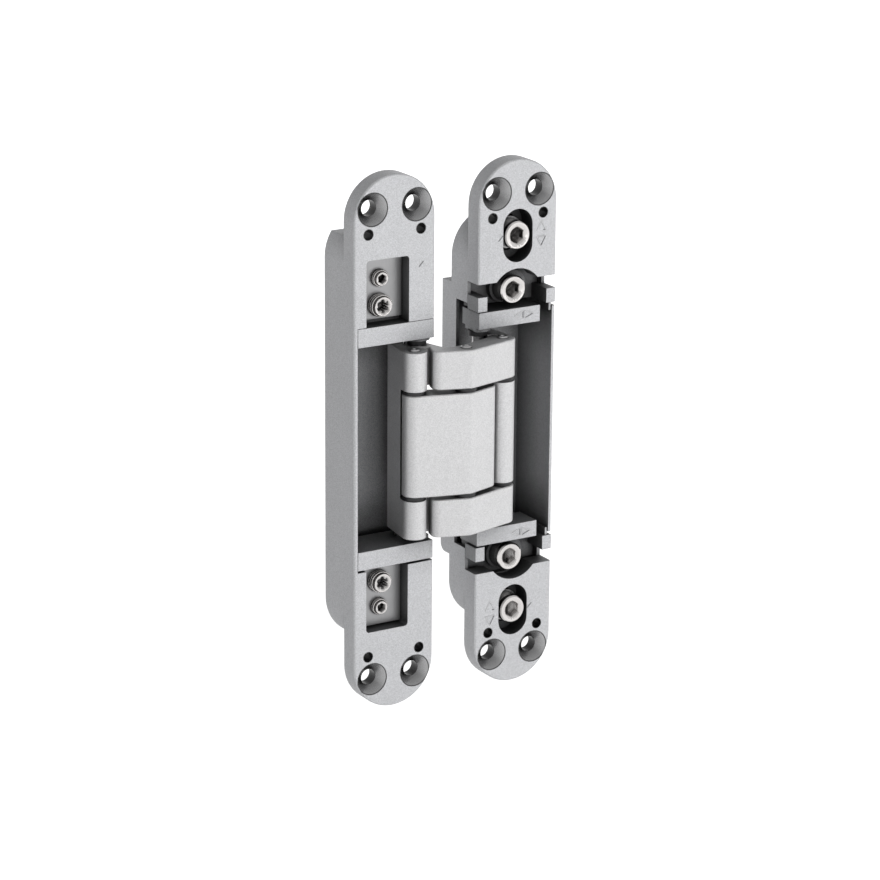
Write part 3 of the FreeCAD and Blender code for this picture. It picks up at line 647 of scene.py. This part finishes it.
FINISHES: dict[Slot, Finish] = {
    Slot.LEAF_CASTING: LeafFinish(
        "leaf_casting",
        COAT_COLOUR,
        metallic=0.5,
        roughness=0.55,
        painted_shade_reach=14.0 * MM,
        painted_shade_depth=2.2,
        painted_shade_floor=0.04,
    ),
    Slot.BLOCK_CASTING: CastFinish(
        "block_casting",
        COAT_COLOUR,
        metallic=0.5,
        roughness=0.55,
        painted_shade_reach=18.0 * MM,
        painted_shade_depth=2.0,
        painted_shade_floor=0.04,
    ),
    Slot.ARM_CASTING: CastFinish(
        "arm_casting",
        (0.60, 0.60, 0.606),
        metallic=0.5,
        roughness=0.50,
        edge_wear_and_highlight_colour=(0.9, 0.9, 0.9),
        painted_shade_reach=1.8 * MM,
        painted_shade_depth=2.0,
        painted_shade_floor=0.05,
        flake_depth=0.12,
    ),
    Slot.GUIDE_STEEL: SteelFinish(
        "guide_steel",
        (0.33, 0.33, 0.335),
        metallic=0.9,
        roughness=0.36,
        painted_shade_reach=1.0 * MM,
    ),
    Slot.NICKEL_SCREW: SmoothFinish(
        "nickel_screw",
        (0.63, 0.61, 0.60),
        metallic=1.0,
        roughness=0.12,
        painted_shade_reach=3.0 * MM,
        painted_shade_depth=2.7,
        painted_shade_floor=0.03,
    ),
    Slot.PIN_STEEL: SteelFinish(
        "pin_steel",
        (0.50, 0.50, 0.50),
        metallic=1.0,
        roughness=0.30,
        painted_shade_reach=1.0 * MM,
    ),
    Slot.BLACK_WASHER: SmoothFinish(
        "black_washer",
        (0.012, 0.012, 0.013),
        metallic=0.0,
        roughness=0.45,
        edge_wear_and_highlight_colour=(0.05, 0.05, 0.05),
    ),
}

TRIM_FINISHES: dict[Trim, Finish] = {
    # Painted highlight and painted shadow for the lit and shaded flanks of engraved marks.
    Trim.PAINTED_HIGHLIGHT_STROKE: SmoothFinish(
        "painted_highlight_stroke", (0.62, 0.62, 0.63), metallic=0.5, roughness=0.50, painted_shade_floor=1.0
    ),
    Trim.PAINTED_SHADOW_STROKE: SmoothFinish(
        "painted_shadow_stroke", (0.10, 0.10, 0.105), metallic=0.3, roughness=0.55, painted_shade_floor=1.0
    ),
    Trim.SCREW_THREAD: SmoothFinish(
        "screw_thread",
        (0.66, 0.64, 0.63),
        metallic=1.0,
        roughness=0.12,
        painted_shade_reach=1.0 * MM,
        painted_shade_depth=1.6,
        painted_shade_floor=0.05,
    ),
}


class Wardrobe:
    """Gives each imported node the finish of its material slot."""

    def __init__(self, effects: EffectLibrary) -> None:
        """Build one material for each slot and each kind of trim.

        Args:
            effects: Shared node groups.
        """
        self.materials = {slot: finish.material(effects) for slot, finish in FINISHES.items()}
        self.trims = {trim: finish.material(effects) for trim, finish in TRIM_FINISHES.items()}
        parts = frame["record"]["subparts"]
        self.slots = {part["node"]: Slot(part["material_slot"]) for part in parts}

    def dress(self, nodes: Iterable[str]) -> None:
        """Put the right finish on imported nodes.

        Args:
            nodes: Names of the nodes.
        """
        for name in nodes:
            shown = frame["nodes"][name]
            shown.data.materials.clear()
            shown.data.materials.append(self.materials[self.slots[name]])
            LOG.info("dressed %s as %s", name, self.slots[name].value)

    def hang(self, piece: bpy.types.Object, body: Body) -> None:
        """Attach an added piece to the body that it rides on.

        Args:
            piece: The added piece, already dressed.
            body: Body that carries the piece.
        """
        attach(piece, body.value)
        LOG.info("added %s on %s", piece.name, body.value)


def link_mesh(name: str, mesh: bpy.types.Mesh) -> bpy.types.Object:
    """Make an object for a mesh and put it in the scene.

    Args:
        name: Name of the object.
        mesh: Its mesh.

    Returns:
        The new object.
    """
    made = bpy.data.objects.new(name, mesh)
    bpy.context.scene.collection.objects.link(made)
    return made


def plain_mesh(name: str, shape: bmesh.types.BMesh) -> bpy.types.Mesh:
    """Turn a shape into a mesh.

    Args:
        name: Name of the mesh.
        shape: The shape, which is freed.

    Returns:
        The new mesh.
    """
    mesh = bpy.data.meshes.new(name)
    shape.to_mesh(mesh)
    shape.free()
    return mesh


class GeometryRecipe:
    """Geometry node tree with named inputs that makes one plain mesh."""

    def __init__(self, name: str, inputs: dict[str, str]) -> None:
        """Make the tree and its sockets.

        Args:
            name: Name of the tree.
            inputs: Named inputs with their socket types.
        """
        self.tree = bpy.data.node_groups.new(name, "GeometryNodeTree")
        face = self.tree.interface
        face.new_socket("Geometry", in_out="INPUT", socket_type="NodeSocketGeometry")
        for label, kind in inputs.items():
            face.new_socket(label, in_out="INPUT", socket_type=kind)
        face.new_socket("Material", in_out="INPUT", socket_type="NodeSocketMaterial")
        face.new_socket("Geometry", in_out="OUTPUT", socket_type="NodeSocketGeometry")
        self.bench = NodeBench(self.tree)
        self.entry = self.bench.add("NodeGroupInput")

    def tube(self, path: Socket, radius: Socket, sides: int) -> Socket:
        """Sweep a round section along a curve.

        Args:
            path: The curve.
            radius: Radius of the section.
            sides: Number of its sides.

        Returns:
            Socket with the mesh.
        """
        feeds = {"Resolution": sides, "Radius": radius}
        section = self.bench.add("GeometryNodeCurvePrimitiveCircle", feeds)
        feeds = {"Curve": path, "Profile Curve": section.outputs["Curve"], "Fill Caps": True}
        return self.bench.add("GeometryNodeCurveToMesh", feeds).outputs["Mesh"]

    def close(self, result: Socket) -> None:
        """End the tree with real geometry in its material.

        Args:
            result: Socket with the tree's geometry.
        """
        real = self.bench.add("GeometryNodeRealizeInstances", {"Geometry": result})
        feeds = {"Geometry": real.outputs["Geometry"], "Material": self.entry.outputs["Material"]}
        coat = self.bench.add("GeometryNodeSetMaterial", feeds)
        self.bench.add("NodeGroupOutput", {"Geometry": coat.outputs["Geometry"]})

    def bake(self, name: str, mesh: bpy.types.Mesh, values: dict[str, Any]) -> bpy.types.Object:
        """Run the tree on a mesh and keep the result as a plain mesh.

        Args:
            name: Name of the finished piece.
            mesh: Mesh that the tree starts from.
            values: Inputs by name.

        Returns:
            The finished piece.
        """
        piece = link_mesh(name, mesh)
        step = piece.modifiers.new(self.tree.name, "NODES")
        step.node_group = self.tree
        for item in self.tree.interface.items_tree:
            if item.item_type == "SOCKET" and item.in_out == "INPUT" and item.name in values:
                step[item.identifier] = values[item.name]
        ready = piece.evaluated_get(bpy.context.evaluated_depsgraph_get())
        plain = bpy.data.meshes.new_from_object(ready)
        piece.modifiers.remove(step)
        piece.data = plain
        plain.name = name
        plain.shade_smooth()
        return piece


class ThreadRecipe(GeometryRecipe):
    """Round ridge wound along Y about each screw of an upper and lower pair."""

    STEPS_PER_TURN = 36
    SIDES = 8

    def __init__(self) -> None:
        """Build the tree."""
        super().__init__("screw_thread", {
            "Turns": "NodeSocketFloat",
            "Length": "NodeSocketFloat",
            "Wind Radius": "NodeSocketFloat",
            "Ridge Radius": "NodeSocketFloat",
            "Upper Place": "NodeSocketVector",
            "Lower Step": "NodeSocketVector",
        })
        bench, given = self.bench, self.entry.outputs
        wind = bench.add("GeometryNodeCurveSpiral", {
            "Resolution": self.STEPS_PER_TURN,
            "Rotations": given["Turns"],
            "Start Radius": given["Wind Radius"],
            "End Radius": given["Wind Radius"],
            "Height": given["Length"],
        })
        ridge = self.tube(wind.outputs["Curve"], given["Ridge Radius"], self.SIDES)
        feeds = {"Geometry": ridge, "Rotation": (-math.pi / 2, 0.0, 0.0)}
        turned = bench.add("GeometryNodeTransform", feeds)
        places = bench.add("GeometryNodeMeshLine", {
            "Count": 2,
            "Start Location": given["Upper Place"],
            "Offset": given["Lower Step"],
        })
        feeds = {"Points": places.outputs["Mesh"], "Instance": turned.outputs["Geometry"]}
        both = bench.add("GeometryNodeInstanceOnPoints", feeds)
        self.close(both.outputs["Instances"])


class StrokeRecipe(GeometryRecipe):
    """Fine round strokes along the edges of a mesh."""

    SIDES = 8

    def __init__(self) -> None:
        """Build the tree."""
        super().__init__("mark_strokes", {"Stroke Radius": "NodeSocketFloat"})
        given = self.entry.outputs
        path = self.bench.add("GeometryNodeMeshToCurve", {"Mesh": given["Geometry"]})
        self.close(self.tube(path.outputs["Curve"], given["Stroke Radius"], self.SIDES))


@dataclass(frozen=True)
class FastenerPair:
    """An upper and a lower fastener of one node, along Y with their heads in front."""

    node: str
    body: Body
    merge_reach: float = 0.001 * MM
    crease: float = math.radians(35.0)

    def place(self) -> tuple[Vector, float]:
        """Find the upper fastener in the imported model.

        Returns:
            Middle of its front face, and its outer radius.
        """
        low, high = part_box(self.node)
        radius = (high[0] - low[0]) / 2
        return Vector((low[0] + radius, low[1], high[2] - radius)), radius

    def copy(self) -> bmesh.types.BMesh:
        """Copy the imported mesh.

        Returns:
            Shape with its doubles merged.
        """
        shape = bmesh.new()
        shape.from_mesh(frame["nodes"][self.node].data)
        bmesh.ops.remove_doubles(shape, verts=shape.verts, dist=self.merge_reach)
        return shape

    def stand_in(self, mesh: bpy.types.Mesh, wardrobe: Wardrobe) -> None:
        """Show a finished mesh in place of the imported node.

        Args:
            mesh: The finished mesh.
            wardrobe: Gives the finish.
        """
        mesh.materials.clear()
        mesh.materials.append(wardrobe.materials[Slot.NICKEL_SCREW])
        mesh.shade_smooth()
        mesh.set_sharp_from_angle(angle=self.crease)
        piece = link_mesh(mesh.name, mesh)
        wardrobe.hang(piece, self.body)
        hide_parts(self.node)


@dataclass(frozen=True)
class SocketBolts(FastenerPair):
    """A pair of cap bolts whose hexagon sockets open in a bevel."""

    mouth_radius: float = 2.85 * MM
    root_radius: float = 1.85 * MM
    bevel_depth: float = 0.75 * MM
    proud: float = 0.05 * MM
    segments: int = 64

    def build(self, wardrobe: Wardrobe) -> None:
        """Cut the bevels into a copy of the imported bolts.

        Args:
            wardrobe: Gives the finish.
        """
        blank, cutter = (
            link_mesh(self.node + end, plain_mesh(self.node + end, shape))
            for end, shape in (("_blank", self.copy()), ("_cutter", self._cones()))
        )
        step = blank.modifiers.new("socket_bevel", "BOOLEAN")
        step.operation = "DIFFERENCE"
        step.solver = "EXACT"
        step.object = cutter
        ready = blank.evaluated_get(bpy.context.evaluated_depsgraph_get())
        mesh = bpy.data.meshes.new_from_object(ready)
        mesh.name = self.node + "_bevelled"
        for spare in (blank, cutter):
            bpy.data.objects.remove(spare)
        self.stand_in(mesh, wardrobe)

    def _cones(self) -> bmesh.types.BMesh:
        """Make cones that open towards the front.

        Returns:
            Shape with a cone at each bolt.
        """
        front, _ = self.place()
        slope = (self.mouth_radius - self.root_radius) / self.bevel_depth
        middle = front.y - self.proud + (self.bevel_depth + self.proud) / 2
        turn = Matrix.Rotation(-math.pi / 2, 4, "X")
        shape = bmesh.new()
        for up in (1, -1):
            bmesh.ops.create_cone(
                shape,
                cap_ends=True,
                segments=self.segments,
                radius1=self.mouth_radius + slope * self.proud,
                radius2=self.root_radius,
                depth=self.bevel_depth + self.proud,
                matrix=Matrix.Translation((front.x, middle, up * front.z)) @ turn,
            )
        return shape


@dataclass(frozen=True)
class SetScrews(FastenerPair):
    """A pair of set screws: turned-down cores and the ridge of their thread."""

    pitch: float = 1.0 * MM
    groove: float = 0.50 * MM
    ridge: float = 0.24 * MM
    rim_break: float = 0.40 * MM
    rim_draw: float = 0.20 * MM

    def build(self, wardrobe: Wardrobe, recipe: ThreadRecipe) -> None:
        """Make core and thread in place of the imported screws.

        Args:
            wardrobe: Gives the finish.
            recipe: Tree that winds the thread.
        """
        front, radius = self.place()
        self.stand_in(self._core(front, radius), wardrobe)
        start = front.y + self.rim_break + self.ridge
        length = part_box(self.node)[1][1] - self.ridge - start
        seed = bpy.data.meshes.new(self.node + "_seed")
        thread = recipe.bake(self.node + "_thread", seed, {
            "Turns": length / self.pitch,
            "Length": length,
            "Wind Radius": radius - self.ridge,
            "Ridge Radius": self.ridge,
            "Upper Place": (front.x, start, front.z),
            "Lower Step": (0.0, 0.0, -2 * front.z),
            "Material": wardrobe.trims[Trim.SCREW_THREAD],
        })
        wardrobe.hang(thread, self.body)

    def _core(self, front: Vector, radius: float) -> bpy.types.Mesh:
        """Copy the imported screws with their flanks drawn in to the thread's root.

        Args:
            front: Middle of the upper screw's front face.
            radius: Outer radius of the screws.

        Returns:
            The new mesh.
        """
        shape = self.copy()
        for vert in shape.verts:
            axis = Vector((front.x, vert.co.y, math.copysign(front.z, vert.co.z)))
            out = vert.co - axis
            if out.length > radius - self.rim_break / 2:
                vert.co = axis + out.normalized() * (radius - self.groove)
            elif out.length > radius - self.rim_break - self.rim_draw:
                vert.co = axis + out.normalized() * (out.length - self.rim_draw)
        return plain_mesh(self.node + "_core", shape)


@dataclass(frozen=True)
class Mark:
    """Strokes of one look on one flat front, as runs of points across and up."""

    name: str
    body: Body
    slot: Slot
    trim: Trim
    depth: float
    runs: tuple[tuple[Spot, ...], ...]

    def seed(self) -> bpy.types.Mesh:
        """Lay edges along the runs.

        Returns:
            Mesh of bare edges, in metres.
        """
        points: list[Point] = []
        edges: list[tuple[int, int]] = []
        for run in self.runs:
            first = len(points)
            points += [(across * MM, self.depth * MM, up * MM) for across, up in run]
            edges += [(first + i, first + i + 1) for i in range(len(run) - 1)]
        mesh = bpy.data.meshes.new(self.name + "_seed")
        mesh.from_pydata(points, edges, [])
        return mesh


@dataclass(frozen=True)
class AdjustingMarks:
    """Plain arrows and ticks that show which way each bolt adjusts, drawn as painted highlight
    strokes on the lit flanks of their grooves and painted shadow strokes on the shaded flanks and
    in the ticks. Millimetres.
    """

    stroke_radius: float = 0.11
    shelf_front: float = 0.3
    shelf_x: float = 43.9
    shelf_z: float = 33.4
    arrow_gap: float = 0.35
    arrow_length: float = 2.8
    arrow_half: float = 1.05
    leaf_x: float = 41.2
    side_x: float = 8.0
    side_z: float = 57.2
    triangle_half: float = 1.5
    triangle_height: float = 2.7
    triangle_gap: float = 0.95
    tick_x: float = -5.85
    tick_z: float = 57.1
    tick_run: float = 0.72
    frame_tick_x: float = 8.7
    frame_tick_z: float = 52.9

    def build(self, wardrobe: Wardrobe, recipe: StrokeRecipe) -> None:
        """Draw every mark.

        Args:
            wardrobe: Gives the looks.
            recipe: Tree that draws the strokes.
        """
        for mark in self._shelf_marks() + self._leaf_marks() + self._frame_marks():
            piece = recipe.bake(mark.name, mark.seed(), {
                "Stroke Radius": self.stroke_radius * MM,
                "Material": wardrobe.trims[mark.trim],
            })
            wardrobe.hang(piece, mark.body)

    def _shelf_marks(self) -> list[Mark]:
        """Arrows to both sides on the fronts of the door bearing blocks.

        Returns:
            The marks, one for each look.
        """
        # light gathers the painted highlight strokes, dark the painted shadow strokes.
        light, dark = [], []
        for z in (self.shelf_z, -self.shelf_z):
            for side in (-1, 1):
                base = self.shelf_x + side * self.arrow_gap
                tip = (base + side * self.arrow_length, z)
                top = (base, z + self.arrow_half)
                low = (base, z - self.arrow_half)
                if side < 0:
                    light += [(tip, low), (tip, top)]
                    dark.append((top, low))
                else:
                    light += [(low, top), (top, tip)]
                    dark.append((low, tip))
        ends = (Body.DOOR_CARRIAGE, Slot.BLOCK_CASTING)
        return [
            Mark("shelf_painted_highlight_strokes", *ends, Trim.PAINTED_HIGHLIGHT_STROKE, self.shelf_front, tuple(light)),
            Mark("shelf_painted_shadow_strokes", *ends, Trim.PAINTED_SHADOW_STROKE, self.shelf_front, tuple(dark)),
        ]

    def _leaf_marks(self) -> list[Mark]:
        """Arrows up and down beside the slots of the door leaf, and a tick across from them.

        Returns:
            The marks, one for each look.
        """
        # light gathers the painted highlight strokes, dark the painted shadow strokes.
        light, dark = [], []
        for turn in (1, -1):
            x = self.leaf_x + turn * self.side_x
            z = turn * self.side_z
            for way in (1, -1):
                base = z + way * self.triangle_gap
                left = (x - self.triangle_half, base)
                right = (x + self.triangle_half, base)
                tip = (x, base + way * self.triangle_height)
                if way > 0:
                    light += [(left, tip), (tip, right)]
                    dark.append((((x + right[0]) / 2, base), right))
                else:
                    light += [(right, left), (left, tip)]
                    dark.append((right, tip))
            tick = (self.leaf_x + turn * self.tick_x, turn * self.tick_z)
            dark.append(self._tick(tick))
        ends = (Body.DOOR_LEAF, Slot.LEAF_CASTING)
        return [
            Mark("door_leaf_painted_highlight_strokes", *ends, Trim.PAINTED_HIGHLIGHT_STROKE, 0.0, tuple(light)),
            Mark("door_leaf_painted_shadow_strokes", *ends, Trim.PAINTED_SHADOW_STROKE, 0.0, tuple(dark)),
        ]

    def _frame_marks(self) -> list[Mark]:
        """A tick beside the upper window of the frame leaf.

        Returns:
            The marks, one for each look.
        """
        tick = self._tick((self.frame_tick_x, self.frame_tick_z))
        ends = (Body.FRAME_LEAF, Slot.LEAF_CASTING)
        return [Mark("frame_leaf_painted_shadow_strokes", *ends, Trim.PAINTED_SHADOW_STROKE, 0.0, (tick,))]

    def _tick(self, centre: Spot) -> tuple[Spot, Spot]:
        """Short slanting stroke about a point."""
        (x, z), run = centre, self.tick_run
        return (x - run, z - run), (x + run, z + run)


@dataclass
class LeafPair:
    """The two leaf bodies and the blocks that slide in them."""

    nodes: tuple[str, ...] = (
        "frame_leaf_body",
        "door_leaf_body",
        "upper_frame_bearing",
        "lower_frame_bearing",
        "upper_guide_plate",
        "lower_guide_plate",
        "upper_door_bearing",
        "lower_door_bearing",
        "upper_height_bracket",
        "lower_height_bracket",
    )
    marks: AdjustingMarks = AdjustingMarks()

    def build(self, wardrobe: Wardrobe) -> None:
        """Dress the leaves and blocks, and draw their marks."""
        wardrobe.dress(self.nodes)
        self.marks.build(wardrobe, StrokeRecipe())


@dataclass
class Linkage:
    """The folding arms and levers with their pins and washers."""

    nodes: tuple[str, ...] = (
        "upper_outer_arm",
        "lower_outer_arm",
        "centre_arm",
        "frame_lever",
        "door_lever",
        "centre_pin",
        "frame_barrel_pin",
        "door_barrel_pin",
        "frame_arm_pin",
        "frame_lever_pin",
        "door_arm_pin",
        "door_lever_pin",
        "frame_pivot_washers",
        "door_pivot_washers",
        "centre_thrust_washers",
        "frame_barrel_washers",
        "door_barrel_washers",
    )

    def build(self, wardrobe: Wardrobe) -> None:
        """Dress the linkage."""
        wardrobe.dress(self.nodes)


@dataclass
class Fasteners:
    """Screws, bolts and their washers."""

    nodes: tuple[str, ...] = (
        "depth_screws",
        "lock_screws",
        "side_bolts",
        "height_bolts",
        "bolt_washers",
    )
    set_screws: tuple[SetScrews, ...] = (
        SetScrews("depth_screws", Body.FRAME_CARRIAGE),
        SetScrews("lock_screws", Body.FRAME_CARRIAGE, pitch=0.8 * MM),
    )
    cap_bolts: tuple[SocketBolts, ...] = (
        SocketBolts("side_bolts", Body.DOOR_CARRIAGE),
        SocketBolts("height_bolts", Body.HEIGHT_BRACKETS),
    )

    def build(self, wardrobe: Wardrobe) -> None:
        """Dress the fasteners, wind the set screws' threads and bevel the bolts' sockets.

        Args:
            wardrobe: Gives the finishes.
        """
        wardrobe.dress(self.nodes)
        recipe = ThreadRecipe()
        for screws in self.set_screws:
            screws.build(wardrobe, recipe)
        for bolts in self.cap_bolts:
            bolts.build(wardrobe)


@dataclass
class PhotoCamera:
    """Camera that looks from the front left and above."""

    place: Point = (-0.46206, -0.79054, 0.28146)
    yaw: float = 31.13
    pitch: float = 16.98
    roll: float = 0.43
    focal: float = 3325.0
    image_width: float = 880.0
    sensor: float = 36.0
    near_clip: float = 0.05
    far_clip: float = 20.0

    def build(self) -> None:
        """Create the camera and make it the scene's own."""
        data = bpy.data.cameras.new("photo_camera")
        data.sensor_width = self.sensor
        data.lens = self.sensor * self.focal / self.image_width
        data.clip_start = self.near_clip
        data.clip_end = self.far_clip
        made = bpy.data.objects.new("photo_camera", data)
        yaw, pitch, roll = (math.radians(a) for a in (self.yaw, self.pitch, self.roll))
        flat = Vector((math.sin(yaw), math.cos(yaw), 0.0))
        ahead = math.cos(pitch) * flat - Vector((0.0, 0.0, math.sin(pitch)))
        level = Vector((math.cos(yaw), -math.sin(yaw), 0.0))
        above = level.cross(ahead)
        right = math.cos(roll) * level + math.sin(roll) * above
        up = math.cos(roll) * above - math.sin(roll) * level
        turn = Matrix((right, up, -ahead)).transposed()
        made.matrix_world = Matrix.Translation(self.place) @ turn.to_4x4()
        bpy.context.scene.collection.objects.link(made)
        bpy.context.scene.camera = made


@dataclass(frozen=True)
class Lamp:
    """Soft rectangular lamp that faces the object."""

    name: str
    azimuth: float
    elevation: float
    width: float
    height: float
    power: float
    distance: float = 1.4

    def build(self, target: Vector) -> None:
        """Create the lamp.

        Args:
            target: Point that the lamp faces.
        """
        data = bpy.data.lights.new(self.name, "AREA")
        data.shape = "RECTANGLE"
        data.size = self.width
        data.size_y = self.height
        data.energy = self.power
        made = bpy.data.objects.new(self.name, data)
        az, el = math.radians(self.azimuth), math.radians(self.elevation)
        away = Vector((math.sin(az) * math.cos(el), -math.cos(az) * math.cos(el), math.sin(el)))
        made.location = target + away * self.distance
        made.rotation_mode = "QUATERNION"
        made.rotation_quaternion = (-away).to_track_quat("-Z", "Y")
        made.visible_glossy = False
        made.visible_camera = False
        bpy.context.scene.collection.objects.link(made)


@dataclass
class Studio:
    """Pale floor, soft lamps and a white world."""

    floor_reach: float = 6.0
    floor_drop: float = 15.0 * MM
    floor_colour: Colour = (0.5, 0.5, 0.5)
    floor_roughness: float = 0.9
    near_glow: float = 0.96
    far_glow: float = 1.0
    near_reach: float = 0.08
    far_reach: float = 0.35
    ambient: float = 0.03
    sky_colour: Colour = (1.0, 1.0, 1.0)
    horizon: float = 1.0
    zenith: float = 0.70
    horizon_sine: float = 0.22
    zenith_sine: float = 0.60
    lamps: tuple[Lamp, ...] = (
        Lamp("key_lamp", azimuth=12.0, elevation=5.0, width=2.4, height=0.5, power=32.5),
        Lamp("back_lamp", azimuth=150.0, elevation=20.0, width=0.8, height=0.8, power=10.0),
    )

    def build(self) -> None:
        """Create floor, lamps and world."""
        low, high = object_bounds()
        middle = (Vector(low) + Vector(high)) / 2
        self._floor(low[2] - self.floor_drop)
        for lamp in self.lamps:
            lamp.build(middle)
        self._world()
        bpy.context.scene.view_settings.view_transform = "Standard"

    @staticmethod
    def _seen(bench: NodeBench) -> Socket:
        """Mask the rays that see the background as white.

        Args:
            bench: The tree.

        Returns:
            Socket with the mask.
        """
        path = bench.add("ShaderNodeLightPath")
        seen = bench.math("MAXIMUM", path.outputs["Is Camera Ray"], path.outputs["Is Glossy Ray"])
        return bench.math("MAXIMUM", seen, path.outputs["Is Transmission Ray"])

    def _fade(self, bench: NodeBench) -> Socket:
        """Glow of the floor, which fades to white away from the object.

        Args:
            bench: The floor's tree.

        Returns:
            Socket with the glow's strength.
        """
        away = bench.add("ShaderNodeVectorMath", {0: bench.object_place()}, operation="LENGTH")
        reach = (self.near_reach, self.far_reach)
        return bench.spread(away.outputs["Value"], self.near_glow, self.far_glow, reach)

    def _floor(self, height: float) -> None:
        """Lay the floor under the object.

        Args:
            height: Height of the floor.
        """
        shape = bmesh.new()
        bmesh.ops.create_grid(shape, x_segments=1, y_segments=1, size=self.floor_reach)
        bmesh.ops.translate(shape, vec=(0.0, 0.0, height), verts=shape.verts)
        mesh = plain_mesh("floor", shape)
        floor = link_mesh("floor", mesh)
        made = bpy.data.materials.new("pale_floor")
        made.use_nodes = True
        bench = NodeBench(made.node_tree)
        matt = bench.add("ShaderNodeBsdfPrincipled", {
            "Base Color": (*self.floor_colour, 1.0),
            "Roughness": self.floor_roughness,
            "Specular IOR Level": 0.0,
        })
        shown = bench.math("MULTIPLY", self._seen(bench), self._fade(bench))
        glow = bench.add("ShaderNodeEmission", {"Strength": shown})
        feeds = {0: matt.outputs["BSDF"], 1: glow.outputs["Emission"]}
        both = bench.add("ShaderNodeAddShader", feeds)
        bench.add("ShaderNodeOutputMaterial", {"Surface": both.outputs["Shader"]})
        mesh.materials.append(made)
        floor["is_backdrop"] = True

    def _world(self) -> None:
        """White at the horizon, darker overhead, and dim as a light."""
        world = bpy.data.worlds.new("white_world")
        bpy.context.scene.world = world
        world.use_nodes = True
        bench = NodeBench(world.node_tree)
        way = bench.add("ShaderNodeTexCoord").outputs["Generated"]
        rise = bench.add("ShaderNodeSeparateXYZ", {0: way}).outputs["Z"]
        sines = (self.horizon_sine, self.zenith_sine)
        fall = bench.spread(rise, self.horizon, self.zenith, sines)
        shown = bench.spread(self._seen(bench), self.ambient, fall)
        feeds = {"Color": (*self.sky_colour, 1.0), "Strength": shown}
        sky = bench.add("ShaderNodeBackground", feeds)
        bench.add("ShaderNodeOutputWorld", {"Surface": sky.outputs["Background"]})


def main() -> None:
    """Build and dress the hinge, then the studio and the camera."""
    logging.basicConfig(level=logging.INFO, format="%(message)s")
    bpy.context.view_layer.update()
    wardrobe = Wardrobe(EffectLibrary())
    for assembly in (LeafPair(), Linkage(), Fasteners()):
        assembly.build(wardrobe)
    Studio().build()
    PhotoCamera().build()


if __name__ == "__main__":
    main()
